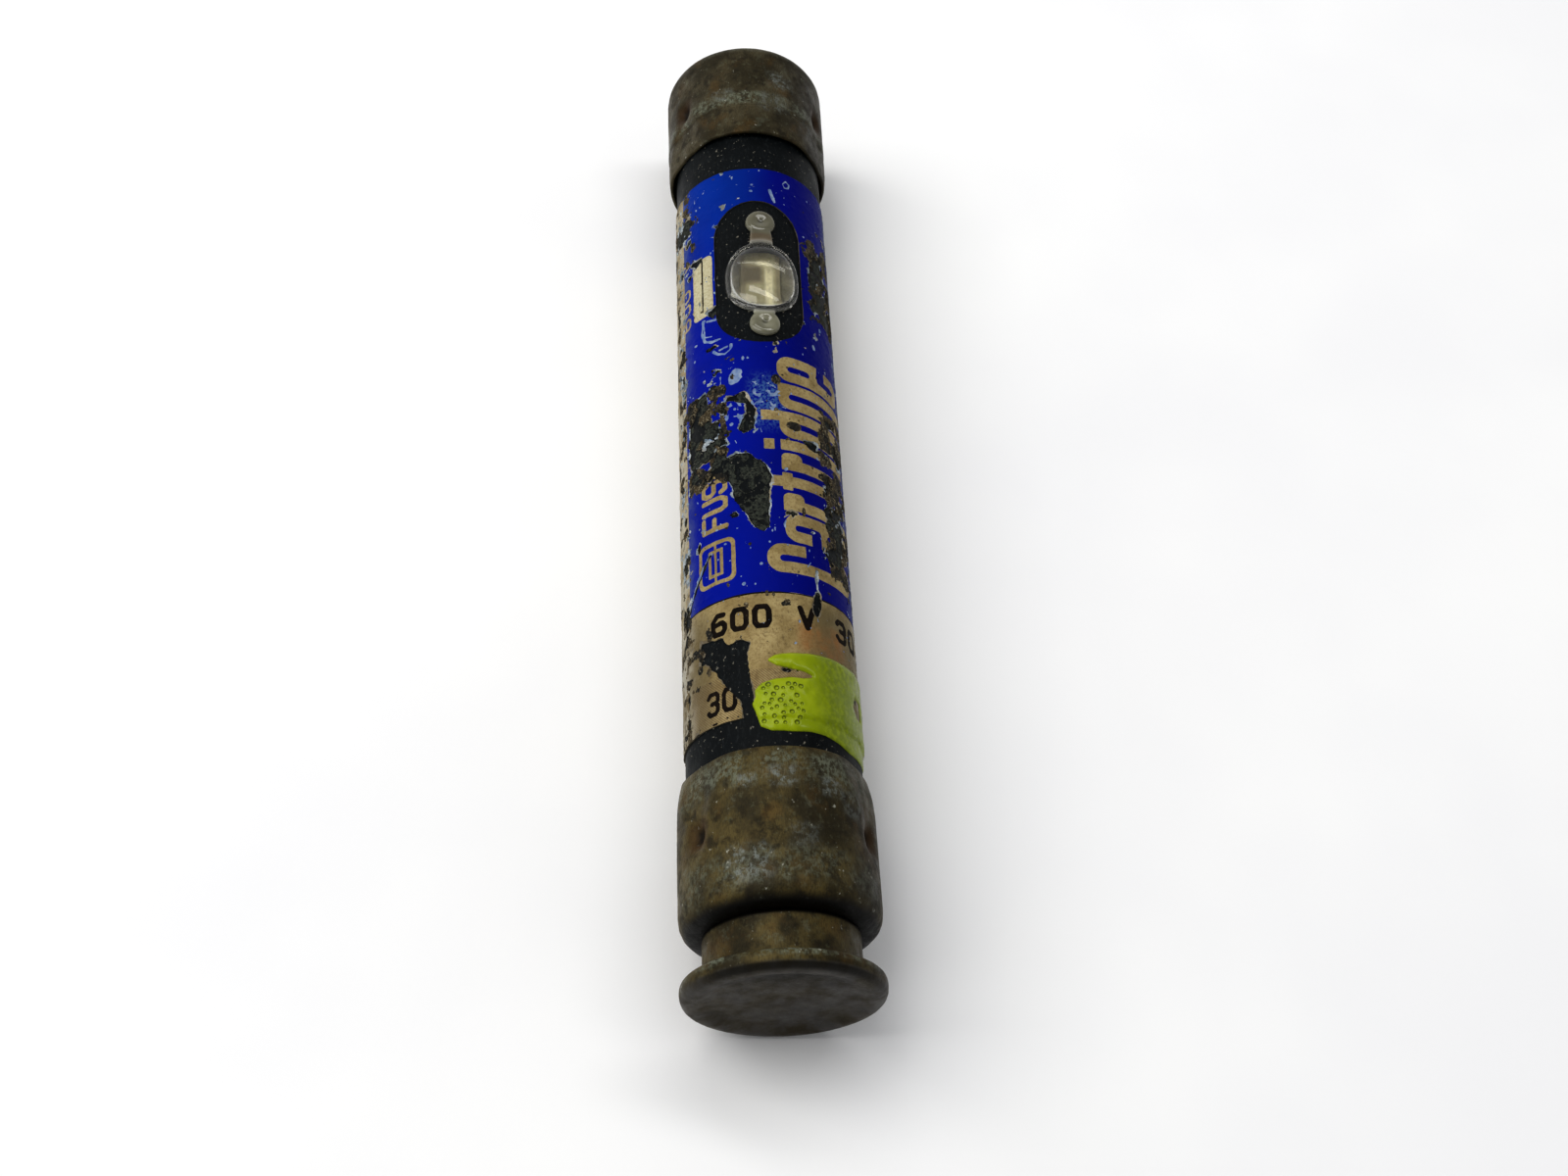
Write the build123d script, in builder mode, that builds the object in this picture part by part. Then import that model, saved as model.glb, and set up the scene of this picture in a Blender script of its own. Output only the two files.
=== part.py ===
"""A round cartridge fuse of the rejection type, with a window that shows when it has opened.

The fuse's axis is X, with the grooved end at +X and the window at +Z. The origin is on the axis at
mid-length. All sizes are in millimetres.
"""

from build123d import *
import os

# Overall size
half_length = 63.5
ferrule_radius = 10.3

# Tube and label
tube_radius = 9.3
tube_bore = 7.4
tube_start = -62.5
tube_end = 56.2
label_start = -41.3
label_end = 36.4
label_gap = 0.01
label_thickness = 0.14
cutout_length = 22.65
cutout_width = 11.0
cutout_corner = 4.8
cutout_x = -24.4

# Ferrules
ferrule_bore = 9.35
plain_rim = -47.3
plain_rounding = 1.5
plain_wall = 1.0
rejection_rim = 40.1
rejection_shoulder = 57.2
shoulder_rounding = 2.0
rim_rounding = 0.25

# Neck, end disc and rivet of the grooved end
neck_radius = 8.0
disc_back = 61.4
disc_rounding = 0.9
disc_back_rounding = 0.3
spigot_radius = 4.0
rivet_radius = 5.4
rivet_thickness = 1.0

# Crimp dimples, three round each ferrule
crimp_angles = [30, 150, 270]
seam_direction = (0, 1, -1)
crimp_depth = 0.8
dimple_radius = 3.0
bump_radius = 3.8
bump_root = 9.8
crimp_pocket_gap = 0.03
crimp_reach = ferrule_radius + dimple_radius - crimp_depth
plain_crimp_x = -55.2
rejection_crimp_x = 48.0

# Window
lens_x = -23.0
lens_radius = 5.15
lens_flats = 8.9
crown_radius = 4.45
crown_flats = 7.6
plug_radius = 4.3
plug_flats = 7.2
plug_gap = 0.05
plug_bottom = 7.2
flange_top = 9.95
crown_top = 10.25
ear_radius = 1.83
ear_spacing = 16.1
ear_x = -23.85
ear_neck_width = 3.0
peg_radius = 0.7
peg_hole_radius = 0.75
peg_bottom = 8.3
peg_hole_bottom = 8.2
stake_radius = 0.55
stake_depth = 0.3

# Indicator under the window
strip_length = 9.0
strip_width = 3.4
strip_thickness = 0.2
strip_bottom = 6.8
carrier_length = 12.0
carrier_width = 9.0
carrier_bottom = 4.6
carrier_radius = 7.3
pad_length = 3.0
pad_width = 2.4
pad_bottom = 5.0
pad_top = 6.2
igniter_height = 5.6
igniter_radius = 0.15
igniter_hole = 0.16
igniter_channel = 0.3

# Contact discs, links, sand and barriers
disc_radius = 7.3
filler_radius = 7.35
contact_thickness = 0.8
plain_solder_thickness = 1.0
rejection_solder_thickness = 1.9
solder_radius = 7.0
link_width = 5.0
link_thickness = 0.3
slot_gap = 0.05
sand_slot_gap = 0.1
link_neck_pitch = 6.0
side_notch_radius = 1.0
centre_hole_radius = 0.9
barrier_thickness = 1.0
chamber_start = -12.0
chamber_end = 22.0
liner_bore = 6.9

# Overload trip in the middle chamber
barrel_start = -8.0
barrel_end = 10.0
barrel_radius = 5.0
barrel_bore = 4.2
barrel_fit = 4.19
plug_face = -5.3
plug_boss_start = -10.0
plug_boss_radius = 3.2
bush_face = 8.0
bush_hole = 1.55
plunger_rod = 1.5
plunger_tip = 15.4
piston_back = 1.0
piston_face = 2.5
piston_radius = 4.1
tip_chamfer = 0.3
spring_radius = 3.0
spring_wire = 0.35
spring_play = 0.05
spring_turns = 4.5
cup_start = 13.0
cup_end = 17.0
cup_hole_end = 15.5
cup_radius = 4.0
cup_hole = 1.75
alloy_bore = 1.52
alloy_bead = 0.5
heater_end = 21.0
heater_width = 3.0
heater_thickness = 0.3
heater_fold = 2.2
heater_bend = 0.45

os.makedirs("parts", exist_ok=True)


def station(x):
    """The cross-section plane at a place along the fuse's axis."""
    return Plane.YZ.offset(x)


def round_bar(start, end, radius, mode=Mode.ADD):
    """A cylinder on the fuse's axis, from one place along it to another. Its seam lies between crimps."""
    section = Plane(origin=(start, 0, 0), x_dir=seam_direction, z_dir=(1, 0, 0))
    with BuildSketch(section) as circle:
        Circle(radius)
    extrude(circle.sketch, amount=end - start, mode=mode)


def slot_through(start, end, width, height, mode=Mode.SUBTRACT):
    """A flat slot on the fuse's axis, as wide along Y and as high along Z as it says."""
    with BuildSketch(station(start)) as slot:
        Rectangle(width, height)
    extrude(slot.sketch, amount=end - start, mode=mode)


def igniter_passage(start, end, radius):
    """A small hole for the igniter wire, above the axis."""
    with BuildSketch(station(start)) as hole:
        with Locations((0, igniter_height)):
            Circle(radius)
    extrude(hole.sketch, amount=end - start, mode=Mode.SUBTRACT)


def crimp_points(x):
    """The centres of the three balls that shape the crimps round a ferrule."""
    return [Vector(x, crimp_reach, 0).rotate(Axis.X, angle) for angle in crimp_angles]


def crimp_bumps(x):
    """The three bumps that stand inward from a ferrule's wall, rooted in it."""
    with BuildPart() as bumps:
        with Locations(*crimp_points(x)):
            Sphere(bump_radius)
        round_bar(x - bump_radius, x + bump_radius, bump_root, Mode.INTERSECT)
    return bumps.part


def press_dimples(x):
    """Hollows the outsides of a ferrule's three bumps."""
    with Locations(*crimp_points(x)):
        Sphere(dimple_radius, mode=Mode.SUBTRACT)


def save(builder, name):
    """Labels a finished piece and writes it as a STEP file."""
    builder.part.label = name
    export_step(builder.part, f"parts/{name}.step")


# Plain ferrule
with BuildPart() as plain_end_cap:
    round_bar(-half_length, plain_rim, ferrule_radius)
    fillet(plain_end_cap.edges().group_by(Axis.X)[0], plain_rounding)
    fillet(plain_end_cap.edges().group_by(Axis.X)[-1], rim_rounding)
    round_bar(-half_length + plain_wall, plain_rim, ferrule_bore, Mode.SUBTRACT)
    add(crimp_bumps(plain_crimp_x))
    press_dimples(plain_crimp_x)
save(plain_end_cap, "plain_end_cap")

# Ferrule of the grooved end, with the hole that the knob is riveted through
with BuildPart() as rejection_cap:
    round_bar(rejection_rim, rejection_shoulder, ferrule_radius)
    fillet(rejection_cap.edges().group_by(Axis.X)[-1], shoulder_rounding)
    fillet(rejection_cap.edges().group_by(Axis.X)[0], rim_rounding)
    round_bar(rejection_rim, tube_end, ferrule_bore, Mode.SUBTRACT)
    round_bar(tube_end, rejection_shoulder, spigot_radius, Mode.SUBTRACT)
    add(crimp_bumps(rejection_crimp_x))
    press_dimples(rejection_crimp_x)
save(rejection_cap, "rejection_cap")

# Turned neck and end disc, with the riveted spigot
with BuildPart() as end_disc:
    round_bar(disc_back, half_length, ferrule_radius)
    fillet(end_disc.edges().group_by(Axis.X)[-1], disc_rounding)
    fillet(end_disc.edges().group_by(Axis.X)[0], disc_back_rounding)

with BuildPart() as rejection_knob:
    add(end_disc.part)
    round_bar(rejection_shoulder, disc_back, neck_radius)
    round_bar(tube_end, rejection_shoulder, spigot_radius)
    round_bar(tube_end - rivet_thickness, tube_end, rivet_radius)
    fillet(rejection_knob.edges().group_by(Axis.X)[0], rivet_thickness / 2)
save(rejection_knob, "rejection_knob")

# Outlines of the window, seen from above
with BuildSketch(mode=Mode.PRIVATE) as lens_outline:
    with Locations((lens_x, 0)):
        Circle(lens_radius)
        Rectangle(3 * lens_radius, lens_flats, mode=Mode.INTERSECT)
    with Locations((ear_x, 0)):
        Rectangle(ear_spacing, ear_neck_width)
        with GridLocations(ear_spacing, 1, 2, 1):
            Circle(ear_radius)

with BuildSketch(mode=Mode.PRIVATE) as crown_outline:
    with Locations((lens_x, 0)):
        Circle(crown_radius)
        Rectangle(3 * crown_radius, crown_flats, mode=Mode.INTERSECT)

with BuildSketch(mode=Mode.PRIVATE) as plug_outline:
    with Locations((lens_x, 0)):
        Circle(plug_radius)
        Rectangle(3 * plug_radius, plug_flats, mode=Mode.INTERSECT)


def window_layer(outline, bottom, top_radius):
    """A slab of the window's outline, with a top that is round about the fuse's axis."""
    with BuildPart() as layer:
        with BuildSketch(Plane.XY.offset(bottom)) as slab:
            add(outline.sketch)
        extrude(slab.sketch, amount=top_radius)
        round_bar(ear_x - ear_spacing, ear_x + ear_spacing, top_radius, Mode.INTERSECT)
    return layer.part


flange = window_layer(lens_outline, plug_bottom, flange_top)
crown = window_layer(crown_outline, tube_radius, crown_top)
plug = window_layer(plug_outline, plug_bottom, tube_radius + label_thickness)

# Clear window: a flange with ears on the tube, a crown above it, and a plug and two pegs in the tube
with BuildPart() as indicator_lens:
    add(flange)
    round_bar(ear_x - ear_spacing, ear_x + ear_spacing, tube_radius + label_gap, Mode.SUBTRACT)
    add(crown)
    add(plug)
    with BuildSketch(Plane.XY.offset(peg_bottom)) as pegs:
        with Locations((ear_x, 0)):
            with GridLocations(ear_spacing, 1, 2, 1):
                Circle(peg_radius)
    extrude(amount=tube_radius + label_thickness - peg_bottom)
    with BuildSketch(Plane.XY.offset(flange_top)) as stakes:
        with Locations((ear_x, 0)):
            with GridLocations(ear_spacing, 1, 2, 1):
                Circle(stake_radius)
    extrude(amount=-stake_depth, mode=Mode.SUBTRACT)
save(indicator_lens, "indicator_lens")

# Fibre tube, with the window hole, two blind peg holes and pockets for the crimps
with BuildPart() as body_tube:
    round_bar(tube_start, tube_end, tube_radius)
    round_bar(tube_start, tube_end, tube_bore, Mode.SUBTRACT)
    with BuildSketch() as window_hole:
        with Locations((lens_x, 0)):
            Circle(plug_radius + plug_gap)
            Rectangle(3 * plug_radius, plug_flats + 2 * plug_gap, mode=Mode.INTERSECT)
    extrude(amount=tube_radius, mode=Mode.SUBTRACT)
    with BuildSketch(Plane.XY.offset(peg_hole_bottom)) as peg_holes:
        with Locations((ear_x, 0)):
            with GridLocations(ear_spacing, 1, 2, 1):
                Circle(peg_hole_radius)
    extrude(amount=tube_radius, mode=Mode.SUBTRACT)
    with Locations(*crimp_points(plain_crimp_x), *crimp_points(rejection_crimp_x)):
        Sphere(bump_radius + crimp_pocket_gap, mode=Mode.SUBTRACT)
save(body_tube, "body_tube")

# Printed paper, wrapped once round the tube
with BuildPart() as paper_label:
    round_bar(label_start, label_end, tube_radius + label_gap + label_thickness)
    round_bar(label_start, label_end, tube_radius + label_gap, Mode.SUBTRACT)
    with BuildSketch() as cutout:
        with Locations((cutout_x, 0)):
            RectangleRounded(cutout_length, cutout_width, cutout_corner)
    extrude(amount=ferrule_radius, mode=Mode.SUBTRACT)
save(paper_label, "paper_label")

# Places along the axis, from the two ends inwards
plain_solder_start = -half_length + plain_wall
plain_disc_start = plain_solder_start + plain_solder_thickness
plain_sand_start = plain_disc_start + contact_thickness
plain_barrier_start = chamber_start - barrier_thickness
rejection_barrier_end = chamber_end + barrier_thickness
rejection_solder_start = tube_end - rejection_solder_thickness
rejection_disc_start = rejection_solder_start - contact_thickness

# Solder puddles between the contact discs and the caps
with BuildPart() as plain_end_solder:
    round_bar(plain_solder_start, plain_disc_start, solder_radius)
save(plain_end_solder, "plain_end_solder")

with BuildPart() as rejection_end_solder:
    round_bar(rejection_solder_start, tube_end, solder_radius)
    add(rejection_knob.part, mode=Mode.SUBTRACT)
save(rejection_end_solder, "rejection_end_solder")


def slotted_disc(start, thickness, radius):
    """A disc across the bore that a link and the igniter wire come through."""
    with BuildPart() as disc:
        round_bar(start, start + thickness, radius)
        slot_through(start, start + thickness, link_width + 2 * slot_gap, link_thickness + 2 * slot_gap)
        igniter_passage(start, start + thickness, igniter_hole)
    return disc


save(slotted_disc(plain_disc_start, contact_thickness, disc_radius), "plain_contact_disc")
save(slotted_disc(rejection_disc_start, contact_thickness, disc_radius), "rejection_contact_disc")
save(slotted_disc(plain_barrier_start, barrier_thickness, filler_radius), "plain_side_barrier")
save(slotted_disc(chamber_end, barrier_thickness, filler_radius), "rejection_side_barrier")


def notched_link(start, end, necks_start, necks_end):
    """A copper strip with evenly spaced weak necks, each between two side notches and a hole."""
    count = int((necks_end - necks_start) / link_neck_pitch)
    with BuildPart() as link:
        with BuildSketch(Plane.XY.offset(-link_thickness / 2)):
            with Locations(((start + end) / 2, 0)):
                Rectangle(end - start, link_width)
            with Locations(((necks_start + necks_end) / 2, 0)):
                with GridLocations(link_neck_pitch, link_width, count, 2):
                    Circle(side_notch_radius, mode=Mode.SUBTRACT)
                with GridLocations(link_neck_pitch, 1, count, 1):
                    Circle(centre_hole_radius, mode=Mode.SUBTRACT)
        extrude(amount=link_thickness)
    return link


save(
    notched_link(plain_disc_start, barrel_start, plain_sand_start, plain_barrier_start),
    "plain_side_link",
)
save(
    notched_link(heater_end, rejection_solder_start, rejection_barrier_end, rejection_disc_start),
    "rejection_side_link",
)


def sand_plug(start, end):
    """Packed quartz sand between a contact disc and a barrier, round the link and the wire."""
    round_bar(start, end, filler_radius)
    slot_through(start, end, link_width + 2 * sand_slot_gap, link_thickness + 2 * sand_slot_gap)
    igniter_passage(start, end, igniter_channel)


carrier_start = lens_x - carrier_length / 2
carrier_end = lens_x + carrier_length / 2

# The window's block stands in the plain side's sand
with BuildPart() as plain_side_sand:
    sand_plug(plain_sand_start, plain_barrier_start)
    with BuildSketch(Plane.XY.offset(carrier_bottom - sand_slot_gap)) as carrier_pocket:
        with Locations((lens_x, 0)):
            Rectangle(carrier_length + 2 * sand_slot_gap, carrier_width + 2 * sand_slot_gap)
    extrude(amount=filler_radius, mode=Mode.SUBTRACT)
save(plain_side_sand, "plain_side_sand")

with BuildPart() as rejection_side_sand:
    sand_plug(rejection_barrier_end, rejection_disc_start)
save(rejection_side_sand, "rejection_side_sand")

# Fibre block under the window, with the pad's pocket
with BuildPart() as indicator_carrier:
    with BuildSketch(Plane.XY.offset(carrier_bottom)) as carrier_outline:
        with Locations((lens_x, 0)):
            Rectangle(carrier_length, carrier_width)
    extrude(amount=strip_bottom - carrier_bottom)
    round_bar(carrier_start, carrier_end, carrier_radius, Mode.INTERSECT)
    with BuildSketch(Plane.XY.offset(pad_bottom)) as pad_pocket:
        with Locations((lens_x, 0)):
            Rectangle(pad_length, pad_width)
    extrude(amount=carrier_radius, mode=Mode.SUBTRACT)
    igniter_passage(carrier_start, carrier_end, igniter_hole)
save(indicator_carrier, "indicator_carrier")

with BuildPart() as indicator_strip:
    with BuildSketch(Plane.XY.offset(strip_bottom)) as strip_outline:
        with Locations((lens_x, 0)):
            Rectangle(strip_length, strip_width)
    extrude(amount=strip_thickness)
save(indicator_strip, "indicator_strip")

with BuildPart() as igniter_pad:
    with BuildSketch(Plane.XY.offset(pad_bottom)) as pad_outline:
        with Locations((lens_x, 0)):
            Rectangle(pad_length, pad_width)
    extrude(amount=pad_top - pad_bottom)
    igniter_passage(carrier_start, carrier_end, igniter_hole)
save(igniter_pad, "igniter_pad")

# Fine resistance wire beside the links, from contact disc to contact disc
with BuildPart() as igniter_wire:
    with BuildSketch(station(plain_disc_start)) as wire_section:
        with Locations((0, igniter_height)):
            Circle(igniter_radius)
    extrude(amount=rejection_solder_start - plain_disc_start)
save(igniter_wire, "igniter_wire")

# Fibre sleeve round the middle chamber
with BuildPart() as arc_liner:
    round_bar(chamber_start, chamber_end, filler_radius)
    round_bar(chamber_start, chamber_end, liner_bore, Mode.SUBTRACT)
save(arc_liner, "arc_liner")

# Overload trip: barrel, the plug at its plain side and the bush at its other end
with BuildPart() as trip_barrel:
    round_bar(barrel_start, barrel_end, barrel_radius)
    round_bar(barrel_start, barrel_end, barrel_bore, Mode.SUBTRACT)
save(trip_barrel, "trip_barrel")

with BuildPart() as barrel_end_plug:
    round_bar(barrel_start, plug_face, barrel_fit)
    round_bar(plug_boss_start, barrel_start, plug_boss_radius)
    slot_through(plug_boss_start, barrel_start, link_width, link_thickness)
save(barrel_end_plug, "barrel_end_plug")

with BuildPart() as barrel_guide_bush:
    round_bar(bush_face, barrel_end, barrel_fit)
    round_bar(bush_face, barrel_end, bush_hole, Mode.SUBTRACT)
save(barrel_guide_bush, "barrel_guide_bush")

# Plunger: a piston in the barrel, and a rod whose tip is held in the cup
with BuildPart() as trip_plunger:
    round_bar(piston_back, piston_face, piston_radius)
    round_bar(piston_face, plunger_tip, plunger_rod)
    chamfer(trip_plunger.edges().group_by(Axis.X)[-1], tip_chamfer)
save(trip_plunger, "trip_plunger")

# Spring round the rod, between the piston and the bush
spring_start = piston_face + spring_play + spring_wire
spring_length = bush_face - spring_play - spring_wire - spring_start
with BuildPart() as trip_spring:
    with BuildLine() as coil:
        Helix(
            pitch=spring_length / spring_turns,
            height=spring_length,
            radius=spring_radius,
            center=(spring_start, 0, 0),
            direction=(1, 0, 0),
        )
    with BuildSketch(Plane(coil.line @ 0, z_dir=coil.line % 0)):
        Circle(spring_wire)
    sweep(is_frenet=True)
save(trip_spring, "trip_spring")

# Copper cup, the alloy that holds the rod's tip in it, and the folded heater ribbon behind it
with BuildPart() as heat_absorber:
    round_bar(cup_start, cup_end, cup_radius)
    round_bar(cup_start, cup_hole_end, cup_hole, Mode.SUBTRACT)
save(heat_absorber, "heat_absorber")

with BuildPart() as fusible_alloy:
    round_bar(cup_start, cup_hole_end, cup_hole)
    round_bar(cup_start - alloy_bead, cup_start, cup_hole + alloy_bead)
    chamfer(fusible_alloy.edges().group_by(Axis.X)[0], alloy_bead / 2)
    round_bar(cup_start - alloy_bead, cup_hole_end, alloy_bore, Mode.SUBTRACT)
save(fusible_alloy, "fusible_alloy")

heater_length = heater_end - cup_end
with BuildPart() as heater_strip:
    with BuildSketch(Plane.XZ) as ribbon:
        with BuildLine():
            FilletPolyline(
                (cup_end, 0),
                (cup_end + heater_length / 5, 0),
                (cup_end + 2 * heater_length / 5, heater_fold),
                (cup_end + 3 * heater_length / 5, -heater_fold),
                (cup_end + 4 * heater_length / 5, 0),
                (heater_end, 0),
                radius=heater_bend,
            )
        trace(line_width=heater_thickness)
    extrude(amount=heater_width / 2, both=True)
save(heater_strip, "heater_strip")
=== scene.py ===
import math

import bpy
import numpy as np
from mathutils import Matrix, Vector
from mathutils.geometry import delaunay_2d_cdt


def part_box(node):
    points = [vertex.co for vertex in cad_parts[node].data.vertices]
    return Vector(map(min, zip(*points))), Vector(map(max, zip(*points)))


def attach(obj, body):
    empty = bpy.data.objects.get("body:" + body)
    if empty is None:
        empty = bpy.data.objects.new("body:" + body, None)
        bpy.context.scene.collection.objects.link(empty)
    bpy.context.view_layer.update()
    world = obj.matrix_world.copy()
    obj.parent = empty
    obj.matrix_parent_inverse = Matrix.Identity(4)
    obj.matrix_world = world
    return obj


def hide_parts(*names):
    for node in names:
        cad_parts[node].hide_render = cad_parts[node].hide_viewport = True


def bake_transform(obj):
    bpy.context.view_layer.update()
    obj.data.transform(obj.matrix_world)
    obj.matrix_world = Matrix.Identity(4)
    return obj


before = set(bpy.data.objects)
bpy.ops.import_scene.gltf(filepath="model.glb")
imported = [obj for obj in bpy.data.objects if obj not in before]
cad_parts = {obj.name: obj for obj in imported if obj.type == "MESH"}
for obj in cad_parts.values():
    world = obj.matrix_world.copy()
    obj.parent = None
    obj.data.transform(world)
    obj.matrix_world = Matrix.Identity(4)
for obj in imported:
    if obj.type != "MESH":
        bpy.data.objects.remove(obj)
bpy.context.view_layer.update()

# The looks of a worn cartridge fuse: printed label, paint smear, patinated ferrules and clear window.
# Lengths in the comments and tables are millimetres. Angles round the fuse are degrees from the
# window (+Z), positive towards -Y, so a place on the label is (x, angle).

MM = 0.001
TUBE = 9.3
PAPER = 9.45
FERRULE = 10.3
LABEL_START = -41.3
LABEL_END = 36.4
BLUE_END = 21.6
BLUE_LOW = -86
BLUE_HIGH = 69
CUT_START = -35.7
CUT_END = -13.0
CUT_LOW = -31
CUT_HIGH = 36
CUT_CORNER = 5.45


def arc(angle):
    """How far round the paper an angle is."""
    return math.radians(angle) * PAPER


def srgb(r, g, b):
    """A colour as the eye reads it on a screen, 0 to 255, as shader values."""
    levels = [c / 255 for c in (r, g, b)]
    return tuple(c / 12.92 if c < 11 / 255 else ((c + 0.055) / 1.055) ** 2.4 for c in levels) + (1.0,)


# ---- soft noise


def smooth(t):
    t = np.clip(t, 0, 1)
    return t * t * (3 - 2 * t)


STEP = 0.1
xs = np.arange(-42.0, 40.0 + STEP, STEP)
ss = np.linspace(-math.pi * PAPER, math.pi * PAPER, 595)
GX, GS = np.meshgrid(xs, ss, indexing="ij")
S_STEP = ss[1] - ss[0]


def fractal(seed, size, octaves):
    """Soft noise over the label, about -1 to 1, with blotches size across."""
    rng = np.random.default_rng(seed)
    total = np.zeros(GX.shape)
    weight = 1.0
    norm = 0.0
    for _ in range(octaves):
        u = (xs - xs[0]) / size
        v = (ss - ss[0]) / size
        lattice = rng.uniform(-1, 1, (int(u[-1]) + 3, int(v[-1]) + 3))
        i = u.astype(int)
        j = v.astype(int)
        fu = smooth(u - i)[:, None]
        fv = smooth(v - j)[None, :]
        low = lattice[i][:, j] * (1 - fv) + lattice[i][:, j + 1] * fv
        high = lattice[i + 1][:, j] * (1 - fv) + lattice[i + 1][:, j + 1] * fv
        total += weight * (low * (1 - fu) + high * fu)
        norm += weight
        weight *= 0.55
        size /= 2
    return total / norm * 1.6


def noise3(points, size, seed, octaves):
    """Soft noise in space at an array of points, about -1 to 1."""
    lattice = np.random.default_rng(seed).uniform(-1, 1, (32, 32, 32))
    total = np.zeros(len(points))
    weight = 1.0
    for _ in range(octaves):
        p = points / size + 100.0
        i = np.floor(p).astype(int)
        f = smooth(p - i)
        value = np.zeros(len(points))
        for a in (0, 1):
            for b in (0, 1):
                for c in (0, 1):
                    share = (f[:, 0] if a else 1 - f[:, 0]) * (f[:, 1] if b else 1 - f[:, 1])
                    share = share * (f[:, 2] if c else 1 - f[:, 2])
                    value += share * lattice[(i[:, 0] + a) % 32, (i[:, 1] + b) % 32, (i[:, 2] + c) % 32]
        total += weight * value
        weight *= 0.5
        size /= 2
    return total


# ---- flat shapes as distance fields


def blank():
    return np.full(GX.shape, 6.0)


def bar(x0, x1, s0, s1, corner=0.0):
    """A rectangle with rounded corners."""
    x0, x1 = min(x0, x1), max(x0, x1)
    s0, s1 = min(s0, s1), max(s0, s1)

    def distance(x, s):
        dx = np.abs(x - (x0 + x1) / 2) - (x1 - x0) / 2 + corner
        ds = np.abs(s - (s0 + s1) / 2) - (s1 - s0) / 2 + corner
        outside = np.hypot(np.maximum(dx, 0), np.maximum(ds, 0))
        return outside + np.minimum(np.maximum(dx, ds), 0) - corner

    return (x0, x1, s0, s1), distance


def box_of(points):
    px, ps = zip(*points)
    return min(px), max(px), min(ps), max(ps)


def from_sides(x, s, sides):
    """How far places are from the nearest of some straight sides."""
    best = np.full(x.shape, 1e3)
    for (x0, s0), (x1, s1) in sides:
        dx, ds = x1 - x0, s1 - s0
        t = np.clip(((x - x0) * dx + (s - s0) * ds) / max(dx * dx + ds * ds, 1e-9), 0, 1)
        best = np.minimum(best, np.hypot(x - x0 - t * dx, s - s0 - t * ds))
    return best


def line(points, width):
    """A stroke through some points."""
    sides = list(zip(points[:-1], points[1:]))
    return box_of(points), lambda x, s: from_sides(x, s, sides) - width / 2


def streak(points, width):
    """A stroke through places given as (x, angle)."""
    return line([(x, arc(a)) for x, a in points], width)


def patch(corners):
    """The inside of a closed outline, given as (x, angle) corners."""
    points = [(x, arc(a)) for x, a in corners]
    sides = list(zip(points, points[1:] + points[:1]))

    def distance(x, s):
        inside = np.zeros(x.shape, bool)
        for (x0, s0), (x1, s1) in sides:
            if s0 != s1:
                inside ^= ((s0 > s) != (s1 > s)) & (x < (x1 - x0) * (s - s0) / (s1 - s0) + x0)
        best = from_sides(x, s, sides)
        return np.where(inside, -best, best)

    return box_of(points), distance


def oval(x, angle, rx, rs, turn=0.0):
    """An ellipse, turned by some degrees."""
    s0 = arc(angle)
    c, n = math.cos(math.radians(turn)), math.sin(math.radians(turn))
    reach = max(rx, rs)

    def distance(gx, gs):
        u = (gx - x) * c + (gs - s0) * n
        v = -(gx - x) * n + (gs - s0) * c
        return (np.hypot(u / rx, v / rs) - 1) * min(rx, rs)

    return (x - reach, x + reach, s0 - reach, s0 + reach), distance


def window(box, pad=1.6):
    """The part of the grid that a box covers."""
    x0, x1, s0, s1 = box
    i = slice(max(0, int((x0 - pad - xs[0]) / STEP)), max(0, int((x1 + pad - xs[0]) / STEP) + 2))
    j = slice(max(0, int((s0 - pad - ss[0]) / S_STEP)), max(0, int((s1 + pad - ss[0]) / S_STEP) + 2))
    return i, j


def paint(f, *shapes):
    for box, distance in shapes:
        i, j = window(box)
        f[i, j] = np.minimum(f[i, j], distance(GX[i, j], GS[i, j]))


def erase(f, *shapes):
    for box, distance in shapes:
        i, j = window(box)
        f[i, j] = np.maximum(f[i, j], -distance(GX[i, j], GS[i, j]))


# ---- lettering, all of it generic

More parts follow.
